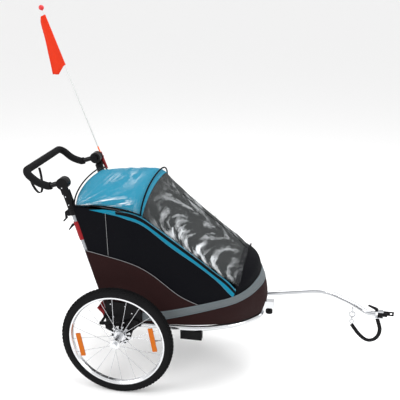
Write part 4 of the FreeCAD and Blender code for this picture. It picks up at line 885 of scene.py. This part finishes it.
flag_nylon = with_group("orange_flag_nylon", weave,
                        {"Color": (0.62, 0.028, 0.004, 1), "Threads": 900.0, "Depth": 0.2, "Contrast": 0.25,
                         "Creases": 14.0, "Crease_Depth": 0.5}, Specular_IOR_Level=0.2)
pole_lean = math.radians(20.2)
tip = Vector((-476 + math.sin(pole_lean) * 34, 236, 1607 - math.cos(pole_lean) * 34))
foot = tip + Vector((math.sin(pole_lean), 0, -math.cos(pole_lean))) * 240
HOIST = [(0, tip.x, tip.z), (0.85, foot.x, foot.z), (0.86, foot.x - 2, foot.z - 1), (1.0, foot.x - 31, foot.z - 44)]
FLY = [(0, tip.x - 18, tip.z - 8), (0.1, tip.x - 20, tip.z - 36), (0.5, foot.x - 82, foot.z + 85),
       (0.9, foot.x - 64, foot.z - 26), (1.0, foot.x - 60, foot.z - 44)]
flag_rows = []
for i in range(41):
    hoist, fly = smooth_value(HOIST, i / 40), smooth_value(FLY, i / 40)
    row = []
    for k in range(25):
        t = k / 24
        wave = math.sin(t * 7.5 + i * 0.05) * 5.0 * t + math.sin(i * 0.3 + t * 4) * 1.5 * t
        row.append(at(hoist[0] + (fly[0] - hoist[0]) * t, tip.y - 0.6 + wave, hoist[1] + (fly[1] - hoist[1]) * t))
    flag_rows.append(row)
pennant = cloth("flag_pennant", flag_rows, 0.0006, inside_at=at(-430, 400, 1450))
settle(pennant, flag_nylon, "flag", ["pennant"])
sleeve = [at(tip.x + (foot.x - tip.x) * k / 6, 239.6, tip.z + (foot.z - tip.z) * k / 6) for k in range(7)]
tube_along("flag_sleeve", sleeve, 0.0052, flag_nylon, "flag")


# ------------------------------------------------------------------ wheels
# Plugged-in wheels with black block-tread tyres, bright box rims, stainless spokes and two
# orange prismatic reflectors clipped over the spokes.
def turned(name, centre, profile, turns):
    """A ring turned about the axle from a closed profile of radius and side offset in mm."""
    mesh = bmesh.new()
    rings = []
    for i in range(turns):
        a = 2 * math.pi * i / turns
        rings.append([mesh.verts.new(centre + Vector((r * math.cos(a), y, r * math.sin(a))) / 1000) for r, y in profile])
    for i in range(turns):
        for k in range(len(profile)):
            m = (k + 1) % len(profile)
            mesh.faces.new((rings[i][k], rings[i][m], rings[(i + 1) % turns][m], rings[(i + 1) % turns][k]))
    bmesh.ops.recalc_face_normals(mesh, faces=mesh.faces)
    data = bpy.data.meshes.new(name)
    mesh.to_mesh(data)
    mesh.free()
    made = bpy.data.objects.new(name, data)
    bpy.context.collection.objects.link(made)
    return made


rubber = with_group("tyre_rubber_black", moulded, {"Color": (0.0025, 0.0025, 0.003, 1), "Grain": 260.0, "Relief": 0.5,
                                                   "Smooth": 0.5, "Dull": 0.8, "Wear": 0.04}, Specular_IOR_Level=0.06)
bright = with_group("bright_rim", metal_face, {"Color": (0.74, 0.75, 0.77, 1), "Smooth": 0.12, "Dull": 0.34},
                    Metallic=1.0)
stainless = with_group("stainless_spoke", metal_face, {"Color": (0.62, 0.63, 0.65, 1), "Smooth": 0.14, "Dull": 0.3,
                                                       "Grain": 120.0}, Metallic=1.0)
amber = plain_material("amber_prisms", Roughness=0.25, Specular_IOR_Level=0.15)
tree = amber.node_tree
spot = node(tree, "ShaderNodeTexCoord").outputs["Object"]
prisms = node(tree, "ShaderNodeTexVoronoi", [(spot, "Vector")], Scale=260.0, Randomness=0.0)
# Painted glint and shade: each prism cell is painted lighter orange at its centre and darker orange at its rim.
painted_glint_color = node(tree, "ShaderNodeMix", [(prisms.outputs["Distance"], "Factor")], data_type="RGBA")
painted_glint_color.inputs[6].default_value = (0.6, 0.17, 0.006, 1)
painted_glint_color.inputs[7].default_value = (0.36, 0.07, 0.002, 1)
facets = node(tree, "ShaderNodeBump", [(prisms.outputs["Distance"], "Height")], Strength=0.6, Distance=0.0012)
tree.links.new(painted_glint_color.outputs[2], tree.nodes["Principled BSDF"].inputs["Base Color"])
tree.links.new(facets.outputs[0], tree.nodes["Principled BSDF"].inputs["Normal"])
dress(bright, "rim_right", "rim_left")
dress(stainless, "spokes_right", "spokes_left")
dress(amber, "reflectors_right", "reflectors_left")

# Rows of rubber blocks round the tyre: drop from the crown, side offset, height and width.
tread = bpy.data.node_groups.new("tread_blocks", "GeometryNodeTree")
tread.interface.new_socket("Geometry", in_out="INPUT", socket_type="NodeSocketGeometry")
for socket, kind, value in (("Crown Radius", "Float", 0.2478), ("Blocks", "Int", 84), ("Block Length", "Float", 0.0105)):
    tread.interface.new_socket(socket, in_out="INPUT", socket_type="NodeSocket" + kind).default_value = value
tread.interface.new_socket("Geometry", in_out="OUTPUT", socket_type="NodeSocketGeometry")
asked = tread.nodes.new("NodeGroupInput")
joined = node(tread, "GeometryNodeJoinGeometry")
for drop, side, wide in ((0, 0, 0.0075), (0.0016, 0.0092, 0.0065), (0.0016, -0.0092, 0.0065),
                         (0.0062, 0.0158, 0.005), (0.0062, -0.0158, 0.005)):
    lower = node(tread, "ShaderNodeMath", [(asked.outputs["Crown Radius"], 0)], operation="SUBTRACT")
    lower.inputs[1].default_value = drop
    ring = node(tread, "GeometryNodeCurvePrimitiveCircle",
                [(asked.outputs["Blocks"], "Resolution"), (lower.outputs[0], "Radius")], mode="RADIUS")
    dots = node(tread, "GeometryNodeCurveToPoints", [(ring.outputs["Curve"], "Curve")], mode="EVALUATED")
    spans = node(tread, "ShaderNodeCombineXYZ", [(asked.outputs["Block Length"], "Z")], X=0.004, Y=wide)
    block = node(tread, "GeometryNodeMeshCube", [(spans.outputs[0], "Size")])
    stuck = node(tread, "GeometryNodeInstanceOnPoints",
                 [(dots.outputs["Points"], "Points"), (block.outputs["Mesh"], "Instance"),
                  (dots.outputs["Rotation"], "Rotation")])
    moved = node(tread, "GeometryNodeTransform", [(stuck.outputs[0], "Geometry")])
    moved.inputs["Translation"].default_value = (0, 0, side)
    moved.inputs["Rotation"].default_value = (0, 0, math.pi / 84 if side and abs(side) < 0.012 else 0)
    tread.links.new(moved.outputs[0], joined.inputs[0])
solid_blocks = node(tread, "GeometryNodeRealizeInstances", [(joined.outputs[0], "Geometry")])
rubbered = node(tread, "GeometryNodeSetMaterial", [(solid_blocks.outputs[0], "Geometry")])
rubbered.inputs["Material"].default_value = rubber
tread.links.new(rubbered.outputs[0], tread.nodes.new("NodeGroupOutput").inputs[0])

tyre_section = [(227 + 20.6 * math.cos(a) + (1.4 if math.cos(a) < -0.4 else 0), 21.2 * math.sin(a))
                for a in [2 * math.pi * k / 28 for k in range(28)]]
for side, word in ((-1, "right"), (1, "left")):
    centre = at(0, side * 310, 250)
    tyre = turned("tyre_casing_" + word, centre, tyre_section, 144)
    settle(tyre, rubber, "wheel_" + word, ["tyre_" + word])
    holder = bpy.data.objects.new("tyre_tread_" + word, bpy.data.meshes.new("tyre_tread_" + word))
    bpy.context.collection.objects.link(holder)
    blocks = holder.modifiers.new("blocks", "NODES")
    blocks.node_group = tread
    for item in tread.interface.items_tree:
        if item.in_out == "INPUT" and item.name == "Crown Radius":
            blocks[item.identifier] = 0.2478
    bpy.context.view_layer.update()
    data = bpy.data.meshes.new_from_object(holder.evaluated_get(bpy.context.evaluated_depsgraph_get()))
    bpy.data.objects.remove(holder)
    data.transform(Matrix.Translation(centre) @ Matrix.Rotation(math.pi / 2, 4, "X"))
    blocks_piece = bpy.data.objects.new("tyre_tread_" + word, data)
    bpy.context.collection.objects.link(blocks_piece)
    settle(blocks_piece, rubber, "wheel_" + word, smooth=False)
    valve = [centre + Vector((0.204, 0, 0.02)), centre + Vector((0.19, 0, 0.0187)), centre + Vector((0.171, 0, 0.0168))]
    tube_along("valve_" + word, valve, 0.0032, stainless, "wheel_" + word)


# ------------------------------------------------------------------ rear panel
# Black coated cloth between the uprights, from the tray up to the rear edge of the roof, where
# it is sewn to the same arch.
rear_rows = []
for i in range(25):
    part = i / 24
    row = []
    for k in range(41):
        turn = -1 + 2 * k / 40
        lip = arch(*smooth_value(ROOF, 0), turn, -3.0)
        foot_place = at(-48, turn * 205, 334)
        sag = 7 * math.sin(math.pi * part) * (1 - turn ** 4)
        row.append(foot_place.lerp(lip, part) - Vector((sag / 1000, 0, 0)))
    rear_rows.append(row)
rear_panel = cloth("rear_panel", rear_rows, 0.001, inside_at=at(150, 0, 500))
settle(rear_panel, panel_cloth, "chassis")
crumple(rear_panel)


# ------------------------------------------------------------------ rivets and stitches
# Domed steel rivets through the brackets, swing arms, stems and uprights, and lockstitch in pale thread
# along the edges of the blue trim, the roof hem and the reflective band.
rivets = bpy.data.node_groups.new("rivets", "GeometryNodeTree")
for socket, kind in (("Geometry", "Geometry"), ("Head Radius", "Float"), ("Head Height", "Float")):
    rivets.interface.new_socket(socket, in_out="INPUT", socket_type="NodeSocket" + kind)
rivets.interface.new_socket("Geometry", in_out="OUTPUT", socket_type="NodeSocketGeometry")
asked = rivets.nodes.new("NodeGroupInput")
facing = node(rivets, "GeometryNodeInputNamedAttribute", data_type="FLOAT_VECTOR")
facing.inputs["Name"].default_value = "facing"
dome = node(rivets, "GeometryNodeMeshUVSphere", [(asked.outputs["Head Radius"], "Radius")], Segments=12, Rings=6)
squat = node(rivets, "ShaderNodeMath", [(asked.outputs["Head Height"], 0), (asked.outputs["Head Radius"], 1)],
             operation="DIVIDE")
scale = node(rivets, "ShaderNodeCombineXYZ", [(squat.outputs[0], "Z")], X=1.0, Y=1.0)
outward = node(rivets, "FunctionNodeAlignRotationToVector", [(facing.outputs["Attribute"], "Vector")], axis="Z")
heads = node(rivets, "GeometryNodeInstanceOnPoints",
             [(asked.outputs["Geometry"], "Points"), (dome.outputs["Mesh"], "Instance"),
              (outward.outputs["Rotation"], "Rotation"), (scale.outputs[0], "Scale")])
solid_heads = node(rivets, "GeometryNodeRealizeInstances", [(heads.outputs[0], "Geometry")])
plated_heads = node(rivets, "GeometryNodeSetMaterial", [(solid_heads.outputs[0], "Geometry")], Material=stainless)
rivets.links.new(plated_heads.outputs[0], rivets.nodes.new("NodeGroupOutput").inputs[0])


def from_nodes(name, tree, mesh, **sizes):
    """The plain mesh that a Geometry Nodes tree makes of a mesh, with named sizes in metres."""
    holder = bpy.data.objects.new(name, mesh)
    bpy.context.collection.objects.link(holder)
    worked = holder.modifiers.new("worked", "NODES")
    worked.node_group = tree
    for item in tree.interface.items_tree:
        if item.in_out == "INPUT" and item.name.replace(" ", "_") in sizes:
            worked[item.identifier] = sizes[item.name.replace(" ", "_")]
    bpy.context.view_layer.update()
    data = bpy.data.meshes.new_from_object(holder.evaluated_get(bpy.context.evaluated_depsgraph_get()))
    bpy.data.objects.remove(holder)
    made = bpy.data.objects.new(name, data)
    bpy.context.collection.objects.link(made)
    return made


for part, body, radius, spots in (
    ("suspension_brackets", "chassis", 3.8, ((16, 374), (46, 343), (-2, 398), (-50, 380), (-39, 318))),
    ("swing_arm_right", "swing_arm_right", 4.0, ((40, 330), (10, 300), (80, 350))),
    ("swing_arm_left", "swing_arm_left", 4.0, ((40, 330), (10, 300), (80, 350))),
    ("handle_stems", "handle_stems", 3.0, ((-214, 830), (-226, 866), (-240, 904))),
    ("uprights", "rear_frame", 2.4, ((-110, 480), (-178, 716))),
):
    places, ways = [], []
    for x, z in spots:
        for side in (-1, 1):
            if part.endswith("left") and side < 0 or part.endswith("right") and side > 0:
                continue
            found, place, way, _ = nodes[part].ray_cast(at(x, side * 500, z), Vector((0, -side, 0)), distance=0.4)
            if found and abs(way.y) > 0.6:
                places.append(place)
                ways.append(way)
    if places:
        dots = bpy.data.meshes.new("rivets_" + part)
        dots.from_pydata([tuple(p) for p in places], [], [])
        dots.attributes.new("facing", "FLOAT_VECTOR", "POINT").data.foreach_set("vector", [v for w in ways for v in w])
        heads_piece = from_nodes("rivets_" + part, rivets, dots, Head_Radius=radius / 1000, Head_Height=0.0014)
        settle(heads_piece, stainless, body)

thread = with_group("pale_thread", weave, {"Color": (0.2, 0.3, 0.34, 1), "Threads": 1400.0, "Depth": 0.6},
                    Specular_IOR_Level=0.2)
stitching = bpy.data.node_groups.new("stitching", "GeometryNodeTree")
for socket, kind in (("Geometry", "Geometry"), ("Spacing", "Float"), ("Stitch Length", "Float")):
    stitching.interface.new_socket(socket, in_out="INPUT", socket_type="NodeSocket" + kind)
stitching.interface.new_socket("Geometry", in_out="OUTPUT", socket_type="NodeSocketGeometry")
asked = stitching.nodes.new("NodeGroupInput")
line = node(stitching, "GeometryNodeMeshToCurve", [(asked.outputs["Geometry"], "Mesh")])
holes = node(stitching, "GeometryNodeCurveToPoints",
             [(line.outputs[0], "Curve"), (asked.outputs["Spacing"], "Length")], mode="LENGTH")
strand = node(stitching, "GeometryNodeMeshCylinder", [(asked.outputs["Stitch Length"], "Depth")],
              Vertices=6, Radius=0.00045)
sewn = node(stitching, "GeometryNodeInstanceOnPoints",
            [(holes.outputs["Points"], "Points"), (strand.outputs["Mesh"], "Instance"),
             (holes.outputs["Rotation"], "Rotation")])
solid_thread = node(stitching, "GeometryNodeRealizeInstances", [(sewn.outputs[0], "Geometry")])
threaded = node(stitching, "GeometryNodeSetMaterial", [(solid_thread.outputs[0], "Geometry")], Material=thread)
stitching.links.new(threaded.outputs[0], stitching.nodes.new("NodeGroupOutput").inputs[0])
for side, word in ((-1, "right"), (1, "left")):
    seams = []
    for table, start, end, shift in ((TRIM_LOW, 112, 648, 3.0), (TRIM_TOP, 134, 660, -3.0)):
        seams.append([tub(start + (end - start) * k / 80, smooth_value(table, start + (end - start) * k / 80) + shift,
                          3.3, side) for k in range(81)])
    for table in (BAND_TOP, BAND_LOW):
        inset = -3.5 if table is BAND_TOP else 3.5
        seams.append([tub(262 + (NOSE_RUN - 262) * k / 90, smooth_value(table, 262 + (NOSE_RUN - 262) * k / 90) + inset,
                          4.0, side) for k in range(91)])
    seams.append([arch(*smooth_value(ROOF, 0.02 + 1.05 * k / 60), side * 0.94, 1.2) for k in range(61)])
    route = bpy.data.meshes.new("stitches_" + word)
    corners, edges = [], []
    for seam in seams:
        edges += [(len(corners) + k, len(corners) + k + 1) for k in range(len(seam) - 1)]
        corners += [tuple(p) for p in seam]
    route.from_pydata(corners, edges, [])
    sewn_line = from_nodes("stitches_" + word, stitching, route, Spacing=0.0055, Stitch_Length=0.0036)
    settle(sewn_line, thread, "chassis")
    crumple(sewn_line)
